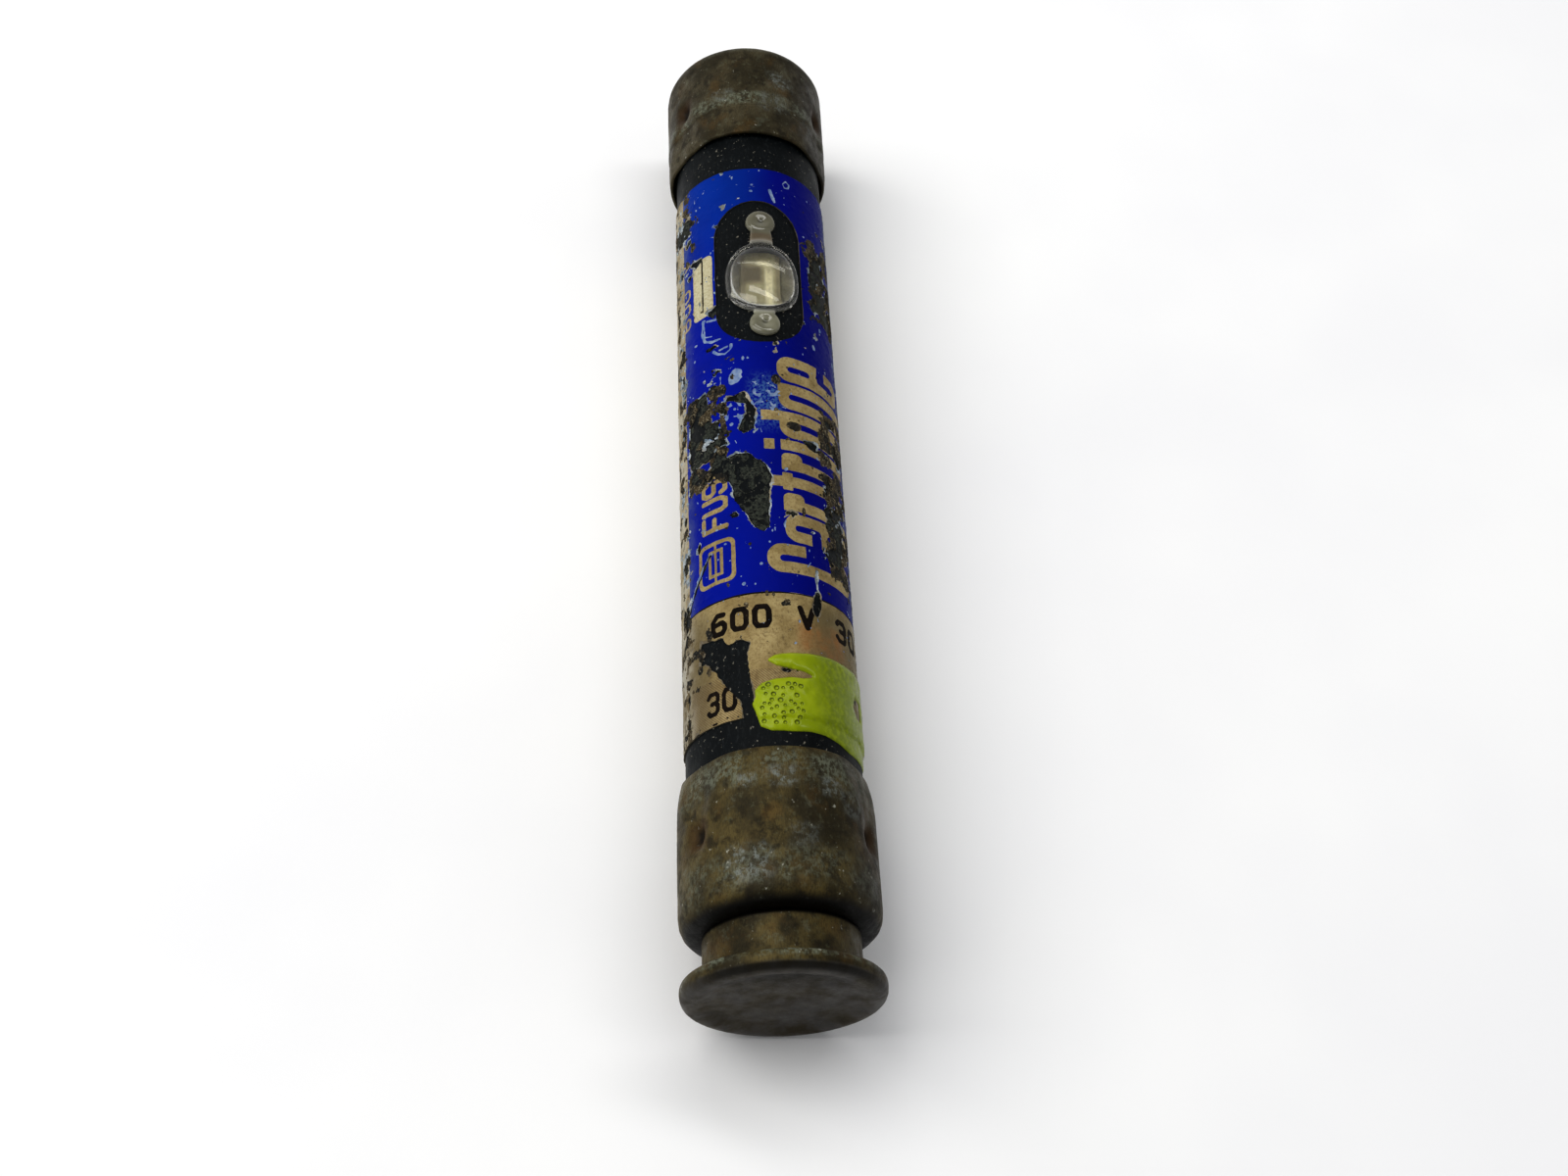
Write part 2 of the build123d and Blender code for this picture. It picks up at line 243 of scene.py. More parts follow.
# Tall narrow letters: width, then bars added (1) or cut away (0) as left, right, foot, top, corner.
TALL = {
    "C": (3.85, [(1, 0, 3.85, 0, 12.2, 1.7), (0, 1.5, 2.35, 1.4, 10.8, 0.42), (0, 1.9, 4.4, 4.6, 7.8, 0.05)]),
    "a": (3.85, [(1, 0, 3.85, 0, 10.1, 1.6), (1, 2.35, 3.85, 0, 3, 0.05), (0, 1.5, 2.35, 1.2, 4.6, 0.4),
                 (0, 1.5, 2.35, 5.6, 8.9, 0.4), (0, -0.5, 1.9, 5.6, 6.9, 0.05)]),
    "r": (2.5, [(1, 0, 1.5, 0, 10.1, 0.05), (1, 0.8, 2.5, 7.6, 10.1, 0.75)]),
    "t": (2.45, [(1, 0.45, 1.95, 0, 12.0, 0.3), (1, 0, 2.45, 8.9, 10.1, 0.05)]),
    "i": (1.5, [(1, 0, 1.5, 0, 10.1, 0.05), (1, 0, 1.5, 10.8, 12.0, 0.05)]),
    "d": (3.85, [(1, 0, 3.85, 0, 10.1, 1.6), (1, 2.35, 3.85, 0, 12.2, 0.05), (0, 1.5, 2.35, 1.3, 8.8, 0.42)]),
    "g": (3.85, [(1, 0, 3.85, 0, 10.1, 1.6), (1, 2.35, 3.85, -1.2, 10.1, 0.05), (1, 0, 3.85, -3.2, -1.1, 0.9),
                 (0, 1.5, 2.35, 1.3, 8.8, 0.42)]),
    "e": (3.85, [(1, 0, 3.85, 0, 10.1, 1.6), (0, 1.5, 2.35, 5.8, 8.8, 0.42), (0, 1.5, 2.35, 1.3, 4.6, 0.42),
                 (0, 1.9, 4.4, 3.2, 4.6, 0.05)]),
}

# Plain line letters in a box 1 wide and 1 tall.
PLAIN = {
    "A": [[(0, 0), (0.5, 1), (1, 0)], [(0.2, 0.34), (0.8, 0.34)]],
    "C": [[(1, 0.75), (0.8, 1), (0.2, 1), (0, 0.8), (0, 0.2), (0.2, 0), (0.8, 0), (1, 0.25)]],
    "D": [[(0, 0), (0, 1), (0.65, 1), (1, 0.78), (1, 0.22), (0.65, 0), (0, 0)]],
    "E": [[(1, 0), (0, 0), (0, 1), (1, 1)], [(0, 0.5), (0.8, 0.5)]],
    "F": [[(0, 0), (0, 1), (1, 1)], [(0, 0.5), (0.8, 0.5)]],
    "G": [[(1, 0.8), (0.8, 1), (0.2, 1), (0, 0.8), (0, 0.2), (0.2, 0), (1, 0), (1, 0.45), (0.6, 0.45)]],
    "H": [[(0, 0), (0, 1)], [(1, 0), (1, 1)], [(0, 0.5), (1, 0.5)]],
    "I": [[(0.5, 0), (0.5, 1)]],
    "L": [[(0, 1), (0, 0), (1, 0)]],
    "M": [[(0, 0), (0, 1), (0.5, 0.35), (1, 1), (1, 0)]],
    "N": [[(0, 0), (0, 1), (1, 0), (1, 1)]],
    "O": [[(0.2, 0), (0.8, 0), (1, 0.2), (1, 0.8), (0.8, 1), (0.2, 1), (0, 0.8), (0, 0.2), (0.2, 0)]],
    "P": [[(0, 0), (0, 1), (0.8, 1), (1, 0.88), (1, 0.58), (0.8, 0.46), (0, 0.46)]],
    "R": [[(0, 0), (0, 1), (0.8, 1), (1, 0.88), (1, 0.6), (0.8, 0.48), (0, 0.48)], [(0.6, 0.48), (1, 0)]],
    "S": [[(1, 0.82), (0.8, 1), (0.2, 1), (0, 0.82), (0, 0.62), (0.2, 0.5), (0.8, 0.5), (1, 0.38),
           (1, 0.18), (0.8, 0), (0.2, 0), (0, 0.18)]],
    "T": [[(0.5, 0), (0.5, 1)], [(0, 1), (1, 1)]],
    "U": [[(0, 1), (0, 0.2), (0.2, 0), (0.8, 0), (1, 0.2), (1, 1)]],
    "V": [[(0, 1), (0.5, 0), (1, 1)]],
    "W": [[(0, 1), (0.25, 0), (0.5, 0.8), (0.75, 0), (1, 1)]],
    "Y": [[(0, 1), (0.5, 0.45), (1, 1)], [(0.5, 0.45), (0.5, 0)]],
    "3": [[(0, 0.85), (0.2, 1), (0.8, 1), (1, 0.85), (1, 0.62), (0.75, 0.52), (0.4, 0.52)],
          [(0.75, 0.52), (1, 0.4), (1, 0.16), (0.8, 0), (0.2, 0), (0, 0.15)]],
    "6": [[(0.9, 0.95), (0.4, 1), (0, 0.7), (0, 0.2), (0.2, 0), (0.8, 0), (1, 0.2), (1, 0.4), (0.8, 0.56),
           (0, 0.5)]],
    " ": [],
}
PLAIN["0"] = PLAIN["O"]


def tall_word(f, text, x0, s0, scale, gap):
    """A big word that reads towards -X with its tops towards +angle."""
    u = 0.0
    for letter in text:
        width, bars = TALL[letter]
        for add, left, right, foot, top, corner in bars:
            shape = bar(x0 - u - left * scale, x0 - u - right * scale, s0 + foot, s0 + top, corner)
            (paint if add else erase)(f, shape)
        u += width * scale + gap


def plain_text(f, text, x0, s0, height, width, gap, stroke, along_axis=True):
    """A line of plain letters. It reads towards -X, or round the tube where along_axis is false."""
    u = 0.0
    for letter in text:
        for points in PLAIN[letter]:
            if along_axis:
                mapped = [(x0 - u - a * width, s0 + b * height) for a, b in points]
            else:
                mapped = [(x0 - b * height, s0 - u - a * width) for a, b in points]
            paint(f, line(mapped, stroke))
        u += width + gap


# ---- the label's printing

fine = fractal(11, 0.9, 3)
rough = fractal(12, 1.9, 5)
crust = fractal(13, 1.3, 4)
border = fractal(14, 1.6, 4)
flecks = fractal(15, 0.55, 3)

paper = blank()
paint(paper, bar(LABEL_START, LABEL_END, ss[0] + 0.05, ss[-1] - 0.05))
erase(paper, bar(CUT_START, CUT_END, arc(CUT_LOW), arc(CUT_HIGH), CUT_CORNER))
paper += 0.03 * fine

letters = blank()
tall_word(letters, "Cartridge", 19.1, -11.2, 0.97, 0.36)
paint(letters, bar(-28.3, -18.8, arc(38), arc(57), 0.7))
plain_text(letters, "600 V", -18.9, arc(61.5), 1.75, 1.5, 0.8, 0.34)
plain_text(letters, "FUSE", 12.2, arc(33), 3.0, 1.6, 0.75, 0.62)
paint(letters, bar(13.8, 19.5, arc(27), arc(57), 0.9))
erase(letters, bar(14.3, 19.0, arc(30), arc(54), 0.6))
paint(letters, bar(14.9, 18.4, arc(36), arc(48), 0.05))
erase(letters, bar(15.3, 18.0, arc(38.5), arc(45.5), 0.0))
paint(letters, streak([(14.2, 42), (19.1, 42)], 0.3))
letters += 0.02 * fine

blue = blank()
paint(blue, bar(LABEL_START - 1, BLUE_END, arc(BLUE_LOW), arc(BLUE_HIGH)))
blue += 0.02 * fine
blue = np.maximum(blue, -letters)

black = blank()
paint(black, bar(BLUE_END - 0.02, BLUE_END + 0.16, arc(BLUE_LOW), arc(BLUE_HIGH)))
plain_text(black, "600 V 30 A", 25.75, arc(45.5), 2.35, 1.5, 0.95, 0.62, along_axis=False)
plain_text(black, "30", 35.0, arc(51), 2.4, 1.3, 0.75, 0.5, along_axis=False)
paint(black, streak([(36.2, 44.5), (36.2, 47)], 0.25), streak([(-28.4, 47.3), (-19.7, 47.3)], 0.2))
BACK_LINES = [
    ("TIME DELAY FUSE", 108, 2.6),
    ("600 V AC OR LESS", 126.5, 1.7),
    ("300 V DC OR LESS", 145, 1.7),
    ("CURRENT LIMITING", 163.5, 1.7),
    ("REPLACE WITH THE SAME RATING", -172, 1.1),
    ("SWITCH OFF POWER FIRST", -158, 1.1),
]
for text, angle, tall in BACK_LINES:
    plain_text(black, text, 30, arc(angle), tall, tall * 0.62, tall * 0.42, tall * 0.17)
black += 0.03 * fine


# ---- tears, crusts and chips


def zone(x0, x1, a0, a1, fade):
    """1 inside a box on the label, falling to 0 over a fade."""
    s0, s1 = arc(a0), arc(a1)
    dx = np.maximum(np.maximum(x0 - GX, GX - x1), 0)
    ds = np.maximum(np.maximum(s0 - GS, GS - s1), 0)
    return 1 - smooth(np.hypot(dx, ds) / fade)


def zones(*rows):
    """The strongest of some zones, each given by its strength and then its box and fade."""
    return np.maximum.reduce([strength * zone(*box) for strength, *box in rows])


wear = zones(
    (0.92, -6.4, 5.0, 34, 60, 1.6),
    (0.78, -31, -20, -66, -44, 1.8),
    (0.45, -42, -31, 62, 84, 2.0),
    (0.66, -1, 16, -66, -45, 1.8),
    (0.42, -42, 37, 74, 80, 1.0),
    (0.55, 25.8, 28.2, 52, 62, 0.8),
    (0.34, -42, 37, -96, -84, 1.4),
    (0.10, -42, 37, 90, 170, 3.0),
    (0.10, -42, 37, -170, -100, 3.0),
)
soil = zones(
    (0.98, -6.8, 5.6, 34, 62, 1.6),
    (0.86, -31.5, -19.5, -70, -42, 1.8),
    (0.55, -42, -30, 60, 90, 2.0),
    (0.80, -4.5, 17, -72, -44, 1.8),
    (0.50, -42, 37, 72, 86, 1.5),
    (0.50, 24.8, 31, 50, 72, 1.2),
    (0.40, -42, 37, -98, -78, 1.4),
    (0.12, -42, 37, 90, 180, 3.0),
    (0.12, -42, 37, -180, -100, 3.0),
)

torn = blank()
paint(
    torn,
    patch([(2.6, 24), (3.3, 14), (5.0, 4), (6.5, 0.5), (9, 2), (11, 4), (13.4, 2.5), (13.8, 8), (12.4, 16),
           (10, 23), (8.2, 28), (5.5, 31), (3.4, 34)]),
    patch([(-5.8, 30), (-5.6, 18), (-4.2, 11), (-2.2, 9), (-0.6, 12), (0.1, 18), (-0.6, 23), (-1.8, 20),
           (-2.6, 17), (-3.8, 18), (-4.6, 24), (-4.9, 32)]),
    patch([(27.6, 20), (29, 22), (31, 21), (34, 19), (36.0, 18.5), (39, 17), (39, 23.5), (36.3, 25),
           (34.2, 29), (32.6, 35), (31.2, 41), (30, 46), (28.8, 50), (28.2, 57), (27.2, 54), (26.2, 60),
           (25.5, 57), (26.1, 48), (26.4, 40), (27.4, 34), (26.9, 27)]),
    patch([(0.2, -38), (2.0, -36), (1.5, -28), (0.8, -23), (0.3, -29)]),
    patch([(-19.8, 36), (-18.6, 34.5), (-18.1, 38), (-18.6, 42), (-19.3, 43)]),
    patch([(-28.9, 46), (-28, 47), (-27.6, 54), (-28.6, 59)]),
    streak([(15.4, 47), (17.6, 56.5), (20.6, 69)], 0.42),
    streak([(18.2, -28), (21.2, -27.6)], 0.16),
    streak([(21.1, -28), (23.6, -26.8)], 0.85),
    oval(13.8, 57, 0.5, 0.25),
    oval(14.8, -46, 0.9, 0.8),
    oval(-3.8, -52, 0.6, 1.0),
)
torn += 0.34 * rough + 0.10 * fine
torn = np.minimum(torn, (rough + 0.86 - wear) * 1.1)
residue = np.maximum(torn + 0.10, (fractal(16, 0.8, 4) + 0.9 * smooth((GX - 17) / 6) - 0.05) * 0.5)

core = torn - (0.10 + 0.22 * border + 0.22 * wear)
chips = blank()
rng = np.random.default_rng(21)
for _ in range(70):
    radius = 0.09 + 0.12 * rng.random() ** 4
    paint(chips, oval(rng.uniform(-41, 21), rng.uniform(-84, 68), radius * rng.uniform(1, 2.2), radius,
                      rng.uniform(0, 180)))
for _ in range(12):
    x, a = rng.uniform(-40, 34), rng.uniform(-60, 66)
    reach, turn = rng.uniform(0.4, 1.4), rng.uniform(0, 2 * math.pi)
    paint(chips, line([(x, arc(a)), (x + reach * math.cos(turn), arc(a) + reach * math.sin(turn))],
                      rng.uniform(0.08, 0.12)))
for x, a in [(-38.5, 5), (-37.4, 6), (-41, -1), (18.0, 10), (20.5, 14.5), (20.3, 22), (15.2, 4), (-13, 57),
             (-28.5, 39), (-12.3, -28), (-31.8, -36), (-38.6, -43), (-37, 52)]:
    paint(chips, oval(x, a, rng.uniform(0.12, 0.24), rng.uniform(0.10, 0.2)))
ring = blank()
paint(
    ring,
    streak([(-40.0, -22), (-39.6, -25), (-39.0, -24), (-38.8, -21), (-39.4, -19.5), (-40.0, -22)], 0.22),
    streak([(-37.8, -8.5), (-36.7, -10), (-35.8, -12)], 0.40),
    streak([(-13.1, 25), (-12.4, 25.5), (-11.9, 30), (-12.2, 35), (-12.8, 39)], 0.30),
    streak([(-12.9, 28), (-12.7, 34)], 0.22),
    streak([(-18.2, 47), (-16.5, 49), (-15.0, 46), (-14.4, 40), (-14.4, 33)], 0.42),
    streak([(-17.9, 44), (-17.6, 36), (-17.9, 33)], 0.28),
    streak([(-17.3, 47), (-15.6, 46), (-15.3, 40)], 0.22),
    streak([(-8.6, 34), (-7.6, 34), (-7.0, 38)], 0.16),
    streak([(16.0, 50), (17.8, 58.5), (20.4, 69)], 0.30),
    streak([(20.6, 60), (21.6, 57.5), (22.0, 62)], 0.10),
    streak([(12.3, -7.5), (12.8, -6.3), (13.4, -7)], 0.09),
)
ring += 0.10 * fine + 0.07 * rough
chip_field = np.minimum(chips + 0.05 * fine, ring)
faded = blank()
paint(faded, oval(-8.2, 22.5, 1.05, 0.8, 30))
faded += 0.25 * rough + 0.2 * flecks
thinned = 0.55 * zone(-7.2, -1.2, -5, 9, 1.2) + 0.78 * zone(-5.2, -1.6, 15, 30, 0.9)
veil = (0.95 - thinned + 0.9 * flecks) * 0.5
edge_rub = (1.12 - 0.82 * zone(-42, 37, 70, 80, 1.2) - 0.70 * zone(-42, 37, -92, -72, 1.4) + flecks) * 0.5
scuffs = np.minimum(chip_field, np.minimum(faded, veil))
core = np.minimum(core, np.minimum(scuffs, edge_rub))
grime = (crust + 0.92 - 1.32 * soil) * 0.9
stray = blank()
for spot in [(27.4, 57, 0.55, 0.4), (29.0, 58, 0.6, 0.45), (-7.4, -6, 0.7, 0.5), (-1.0, -17, 0.5, 0.8),
             (10.6, -21, 0.5, 0.2)]:
    paint(stray, oval(*spot))
grime = np.minimum(grime, stray + 0.25 * rough)


# ---- height of the paper

LIFT = 0.10
SINK = 0.055
CRUST_RISE = 0.10

lift = LIFT * np.exp(-np.clip(core, 0, 3) / 0.35) * (0.45 + 0.55 * np.clip(border + 0.4, 0, 1))
height = PAPER + 0.012 * fractal(31, 3.5, 3) + 0.004 * flecks
height += np.where(core > 0, lift * smooth((3.0 - torn) / 2.0), 0)
sunk = PAPER - SINK + 0.022 * flecks
height = np.where(core < 0, height + (sunk - height) * smooth(-core / 0.14), height)
height += CRUST_RISE * smooth(-grime / 0.5) * (0.55 + 0.45 * crust + 0.35 * flecks) * (torn > 0)
height = np.where(torn < 0, TUBE + 0.035 + 0.02 * flecks, np.maximum(height, TUBE + 0.05))


# ---- from fields to meshes


def sample(field, x, s):
    u = np.clip((x - xs[0]) / STEP, 0, len(xs) - 1.001)
    v = np.clip((s - ss[0]) / S_STEP, 0, len(ss) - 1.001)
    i, j = u.astype(int), v.astype(int)
    fu, fv = u - i, v - j
    return (
        field[i, j] * (1 - fu) * (1 - fv)
        + field[i + 1, j] * fu * (1 - fv)
        + field[i, j + 1] * (1 - fu) * fv
        + field[i + 1, j + 1] * fu * fv
    )


# Which of a cell's edges a contour joins: 0 low x side, 1 high x side, 2 low s side, 3 high s side.
CELL_LINES = {
    1: [(2, 0)], 2: [(2, 1)], 3: [(0, 1)], 4: [(1, 3)], 5: [(2, 1), (0, 3)], 6: [(2, 3)], 7: [(0, 3)],
    8: [(0, 3)], 9: [(2, 3)], 10: [(2, 0), (1, 3)], 11: [(1, 3)], 12: [(0, 1)], 13: [(2, 1)], 14: [(2, 0)],
}


def contours(field, keep=None, grid=(xs, ss)):
    """The zero lines of a field over a grid, as points and pairs of them, where keep holds."""
    gx, gy = grid
    step_x, step_y = gx[1] - gx[0], gy[1] - gy[0]
    f = np.where(np.abs(field) < 1e-4, 1e-4, field)
    inside = f < 0
    case = inside[:-1, :-1] * 1 + inside[1:, :-1] * 2 + inside[1:, 1:] * 4 + inside[:-1, 1:] * 8
    points = {}
    pairs = []

    def crossing(along_x, i, j):
        """The point where the field is zero on one edge of a cell."""
        key = (along_x, i, j)
        if key not in points:
            a, b = f[i, j], f[i + along_x, j + 1 - along_x]
            t = min(max(a / (a - b), 0.04), 0.96)
            points[key] = (gx[i] + along_x * t * step_x, gy[j] + (1 - along_x) * t * step_y)
        return key

    for i, j in np.argwhere((case > 0) & (case < 15)):
        if keep is None or keep[i, j]:
            sides = [(0, i, j), (0, i + 1, j), (1, i, j), (1, i, j + 1)]
            for a, b in CELL_LINES[int(case[i, j])]:
                pairs.append((crossing(*sides[a]), crossing(*sides[b])))
    return thin_out(points, pairs)


def thin_out(points, pairs, tolerance=0.012, longest=1.2):
    """Drops contour points that lie on the line between their neighbours."""
    near = {}
    for a, b in pairs:
        near.setdefault(a, []).append(b)
        near.setdefault(b, []).append(a)
    for _ in range(2):
        locked = set()
        for p in list(near):
            ends = near[p]
            if len(ends) != 2 or p in locked or ends[0] == ends[1]:
                continue
            a, b = ends
            if b in near[a]:
                continue
            (ax, ay), (bx, by), (px, py) = points[a], points[b], points[p]
            span = math.hypot(bx - ax, by - ay)
            aside = abs((bx - ax) * (py - ay) - (by - ay) * (px - ax))
            if span > longest or aside > tolerance * max(span, 1e-6):
                continue
            near[a] = [b if q == p else q for q in near[a]]
            near[b] = [a if q == p else q for q in near[b]]
            del near[p]
            locked.update((a, b))
    index = {p: k for k, p in enumerate(near)}
    edges = {tuple(sorted((index[a], index[b]))) for a in near for b in near[a]}
    return [points[p] for p in near], [e for e in edges if e[0] != e[1]]


def triangulate(lines, extra):
    """One net of triangles, all turning the same way, that keeps every contour as edges."""
    verts = []
    edges = []
    for points, pairs in lines:
        base = len(verts)
        verts.extend(points)
        edges.extend((a + base, b + base) for a, b in pairs)
    verts.extend(tuple(p) for p in extra)
    found = delaunay_2d_cdt([Vector(v) for v in verts], edges, [], 0, 1e-4, False)
    flat = np.array([(v.x, v.y) for v in found[0]])
    faces = np.array([tuple(t) for t in found[2]])
    a, b, c = (flat[faces[:, k]] for k in range(3))
    back = np.cross(b - a, c - a) < 0
    faces[back] = faces[back][:, ::-1]
    return flat, faces


def rolled(flat, radius):
    """The places in space of points on the flat label at some radius."""
    a = flat[:, 1] / PAPER
    return np.stack([flat[:, 0], -radius * np.sin(a), radius * np.cos(a)], 1) * MM


def rim_of(flat, faces):
    """The edges that one triangle uses, the points on them and those points' places on the tube."""
    users = {}
    for a, b, c in faces:
        for p, q in ((a, b), (b, c), (c, a)):
            users.setdefault((min(p, q), max(p, q)), []).append((p, q))
    rim = [pairs[0] for pairs in users.values() if len(pairs) == 1]
    points = sorted({p for pair in rim for p in pair})
    return rim, points, rolled(flat[points], np.full(len(points), TUBE + 0.004))


def make_mesh(name, verts, faces, materials, smooth_faces=True, slots=None):
    mesh = bpy.data.meshes.new(name)
    mesh.from_pydata([tuple(v) for v in verts], [], [tuple(int(i) for i in f) for f in faces])
    mesh.validate()
    for m in materials:
        mesh.materials.append(m)
    if slots is not None:
        mesh.polygons.foreach_set("material_index", np.asarray(slots, np.int32))
    mesh.polygons.foreach_set("use_smooth", np.full(len(mesh.polygons), smooth_faces))
    mesh.update()
    obj = bpy.data.objects.new(name, mesh)
    bpy.context.scene.collection.objects.link(obj)
    return obj


# ---- materials


def add_node(tree, kind, inputs, **settings):
    """A shader node with some settings, its inputs set to values or linked to other nodes."""
    node = tree.nodes.new("ShaderNode" + kind)
    for key, value in settings.items():
        setattr(node, key, value)
    for key, value in inputs.items():
        if isinstance(value, bpy.types.NodeSocket):
            tree.links.new(value, node.inputs[key])
        else:
            node.inputs[key].default_value = value
    return node


def ramp(tree, value, low, high, to_low=0.0, to_high=1.0):
    """A value taken smoothly from one range to another."""
    inputs = {"Value": value, "From Min": low, "From Max": high, "To Min": to_low, "To Max": to_high}
    return add_node(tree, "MapRange", inputs, interpolation_type="SMOOTHSTEP").outputs["Result"]


class Shader:
    """A small helper to write a procedural material. Its base colour is built up in layers."""

    def __init__(self, name, roughness=0.5, metallic=0.0, specular=0.18):
        self.material = bpy.data.materials.new(name)
        self.material.use_nodes = True
        self.tree = self.material.node_tree
        self.bsdf = self.tree.nodes["Principled BSDF"]
        self.give("Roughness", roughness)
        self.give("Metallic", metallic)
        self.give("Specular IOR Level", specular)
        self.coords = add_node(self.tree, "TexCoord", {}).outputs["Object"]

    def give(self, name, source):
        """Sets an input of the material, or links it."""
        if isinstance(source, bpy.types.NodeSocket):
            self.tree.links.new(source, self.bsdf.inputs[name])
        else:
            self.bsdf.inputs[name].default_value = source

    def noise(self, size, detail=4.0, rough=0.55, stretch=(1, 1, 1), offset=(0, 0, 0)):
        """Noise with features about size across, in millimetres."""
        scale = [1 / (size * MM) / s for s in stretch]
        place = add_node(self.tree, "Mapping", {"Vector": self.coords, "Scale": scale, "Location": offset})
        inputs = {"Vector": place.outputs[0], "Scale": 1.0, "Detail": detail, "Roughness": rough}
        return add_node(self.tree, "TexNoise", inputs).outputs["Fac"]

    def axis(self, which):
        """A coordinate in millimetres: x, y or z."""
        split = add_node(self.tree, "SeparateXYZ", {0: self.coords})
        return self.times(split.outputs["xyz".index(which)], 1000.0)

    def angle(self):
        """Degrees from the window, positive towards -Y."""
        turn = self.math("ARCTAN2", self.times(self.axis("y"), -1.0), self.axis("z"))
        return self.times(turn, 57.29578)

    def math(self, operation, *values):
        return add_node(self.tree, "Math", dict(enumerate(values)), operation=operation).outputs[0]

    def times(self, a, b):
        return self.math("MULTIPLY", a, b)

    def span(self, a, b):
        """The length of a line that goes a one way and b the other."""
        return self.math("SQRT", self.math("ADD", self.math("POWER", a, 2.0), self.math("POWER", b, 2.0)))

    def away(self, value, centre):
        """How far a value is from a centre."""
        return self.math("ABSOLUTE", self.math("SUBTRACT", value, centre))

    def near(self, value, centre, reach):
        """1 where a value is close to a centre, 0 past its reach."""
        return self.ramp(self.away(value, centre), reach * 0.35, reach, 1.0, 0.0)

    def both(self, u, u_centre, u_reach, v, v_centre, v_reach):
        """1 where two values are both close to their centres."""
        return self.times(self.near(u, u_centre, u_reach), self.near(v, v_centre, v_reach))

    def ramp(self, *values):
        return ramp(self.tree, *values)

    def mix(self, factor, a, b):
        return add_node(self.tree, "Mix", {0: factor, 6: a, 7: b}, data_type="RGBA").outputs[2]

    def ground(self, factor, first, second):
        """Starts the base colour with two colours."""
        self.base = self.mix(factor, srgb(*first), srgb(*second))

    def layer(self, factor, r, g, b):
        """Lays a colour over the base colour."""
        self.base = self.mix(factor, self.base, srgb(r, g, b))

    def spots(self, value, low, high, amount, r, g, b):
        """Lays a colour over the base colour where a value is high."""
        self.layer(self.ramp(value, low, high, 0, amount), r, g, b)

    def rough(self, value, low, high):
        """Roughness that follows a noise."""
        self.give("Roughness", self.ramp(value, 0.3, 0.7, low, high))

    def bump(self, source, depth, strength=1.0):
        """Fine relief, depth in millimetres."""
        inputs = {"Strength": strength, "Distance": depth * MM, "Height": source}
        self.give("Normal", add_node(self.tree, "Bump", inputs).outputs[0])

    def done(self):
        self.give("Base Color", self.base)
        return self.material


def patina(name, pale_bands, patches=(), groove_shade_and_grime=None, face=None, crimp=None, pale=(88, 77, 44)):
    """Old brass gone olive brown, with grey-green bloom, warm patches and white specks. Painted shade darkens
    its side away from the light, its crimps, the groove by the knob (there with grime) and the top of the
    knob face's rim.
    """
    m = Shader(name, metallic=0.2, specular=0.14)
    x, a = m.axis("x"), m.angle()
    broad = m.noise(5.0, 5)
    middle = m.noise(1.8, 6, 0.65, offset=(3, 1, 7))
    small = m.noise(0.5, 6, 0.7, offset=(9, 2, 4))
    grain = m.noise(0.16, 3, 0.6, stretch=(3, 1, 1))
    m.ground(m.ramp(broad, 0.38, 0.62), (48, 42, 24), pale)
    m.spots(middle, 0.50, 0.66, 0.75, 34, 29, 18)
    m.spots(m.noise(3.2, 4, offset=(5, 5, 1)), 0.52, 0.70, 0.40, 92, 70, 32)
    m.spots(m.noise(0.8, 5, 0.7, offset=(7, 3, 2)), 0.55, 0.66, 0.35, 98, 98, 76)
    bloom = m.ramp(middle, 0.30, 0.42, 0.30, 0.0)
    for centre, reach, amount in pale_bands:
        band = m.times(m.near(x, centre, reach), m.ramp(small, 0.43, 0.58, 0.05, amount))
        broken = m.ramp(m.noise(3.0, 3, offset=(1, 6, 2)), 0.42, 0.56, 0.2, 1.0)
        bloom = m.math("MAXIMUM", bloom, m.times(band, broken))
    m.layer(bloom, 110, 114, 98)
    for at_x, at_a, size, amount in patches:
        spot = m.both(x, at_x, size, a, at_a, size * 7)
        spot = m.times(spot, m.ramp(m.noise(0.9, 6, 0.72), 0.46, 0.58, 0.06, amount * 0.72))
        m.layer(spot, 124, 130, 126)
    m.spots(m.noise(0.8, 3, offset=(2, 8, 3)), 0.68, 0.74, 0.8, 158, 158, 146)
    m.spots(grain, 0.42, 0.70, 0.45, 34, 30, 18)
    # Painted shade: darker towards -angle, the side away from the light.
    m.layer(m.ramp(a, -58, -22, 0.5, 0), 26, 22, 15)
    # Painted shade in each crimp: a brown darkening over the hollow and a near-black pit at its middle.
    if crimp is not None:
        across = m.math("ABSOLUTE", a)
        crimp_shade = m.both(x, crimp, 2.3, across, 60, 13)
        m.layer(m.times(crimp_shade, 0.6), 62, 40, 18)
        pit = m.both(x, crimp, 1.1, across, 59, 6)
        m.layer(m.times(pit, 0.85), 14, 11, 7)
    # Painted shade, with some grime, in the groove between the grooved ferrule's shoulder and the knob's
    # neck.
    if groove_shade_and_grime is not None:
        centre, reach = groove_shade_and_grime
        m.layer(m.near(x, centre, reach), 12, 10, 7)
    if face is not None:
        plate = m.mix(m.ramp(m.noise(3.5, 6, 0.6), 0.40, 0.62), srgb(72, 70, 68), srgb(52, 46, 33))
        m.base = m.mix(m.ramp(x, face - 1.0, face - 0.5, 0, 0.85), m.base, plate)
        shade = m.times(m.near(x, face - 0.38, 0.45), m.ramp(m.axis("z"), 3, 8))
        m.layer(m.times(shade, 0.8), 18, 16, 11)
    m.rough(middle, 0.34, 0.60)
    m.bump(m.math("ADD", small, m.times(grain, 0.5)), 0.06, 0.6)
    return m.done()


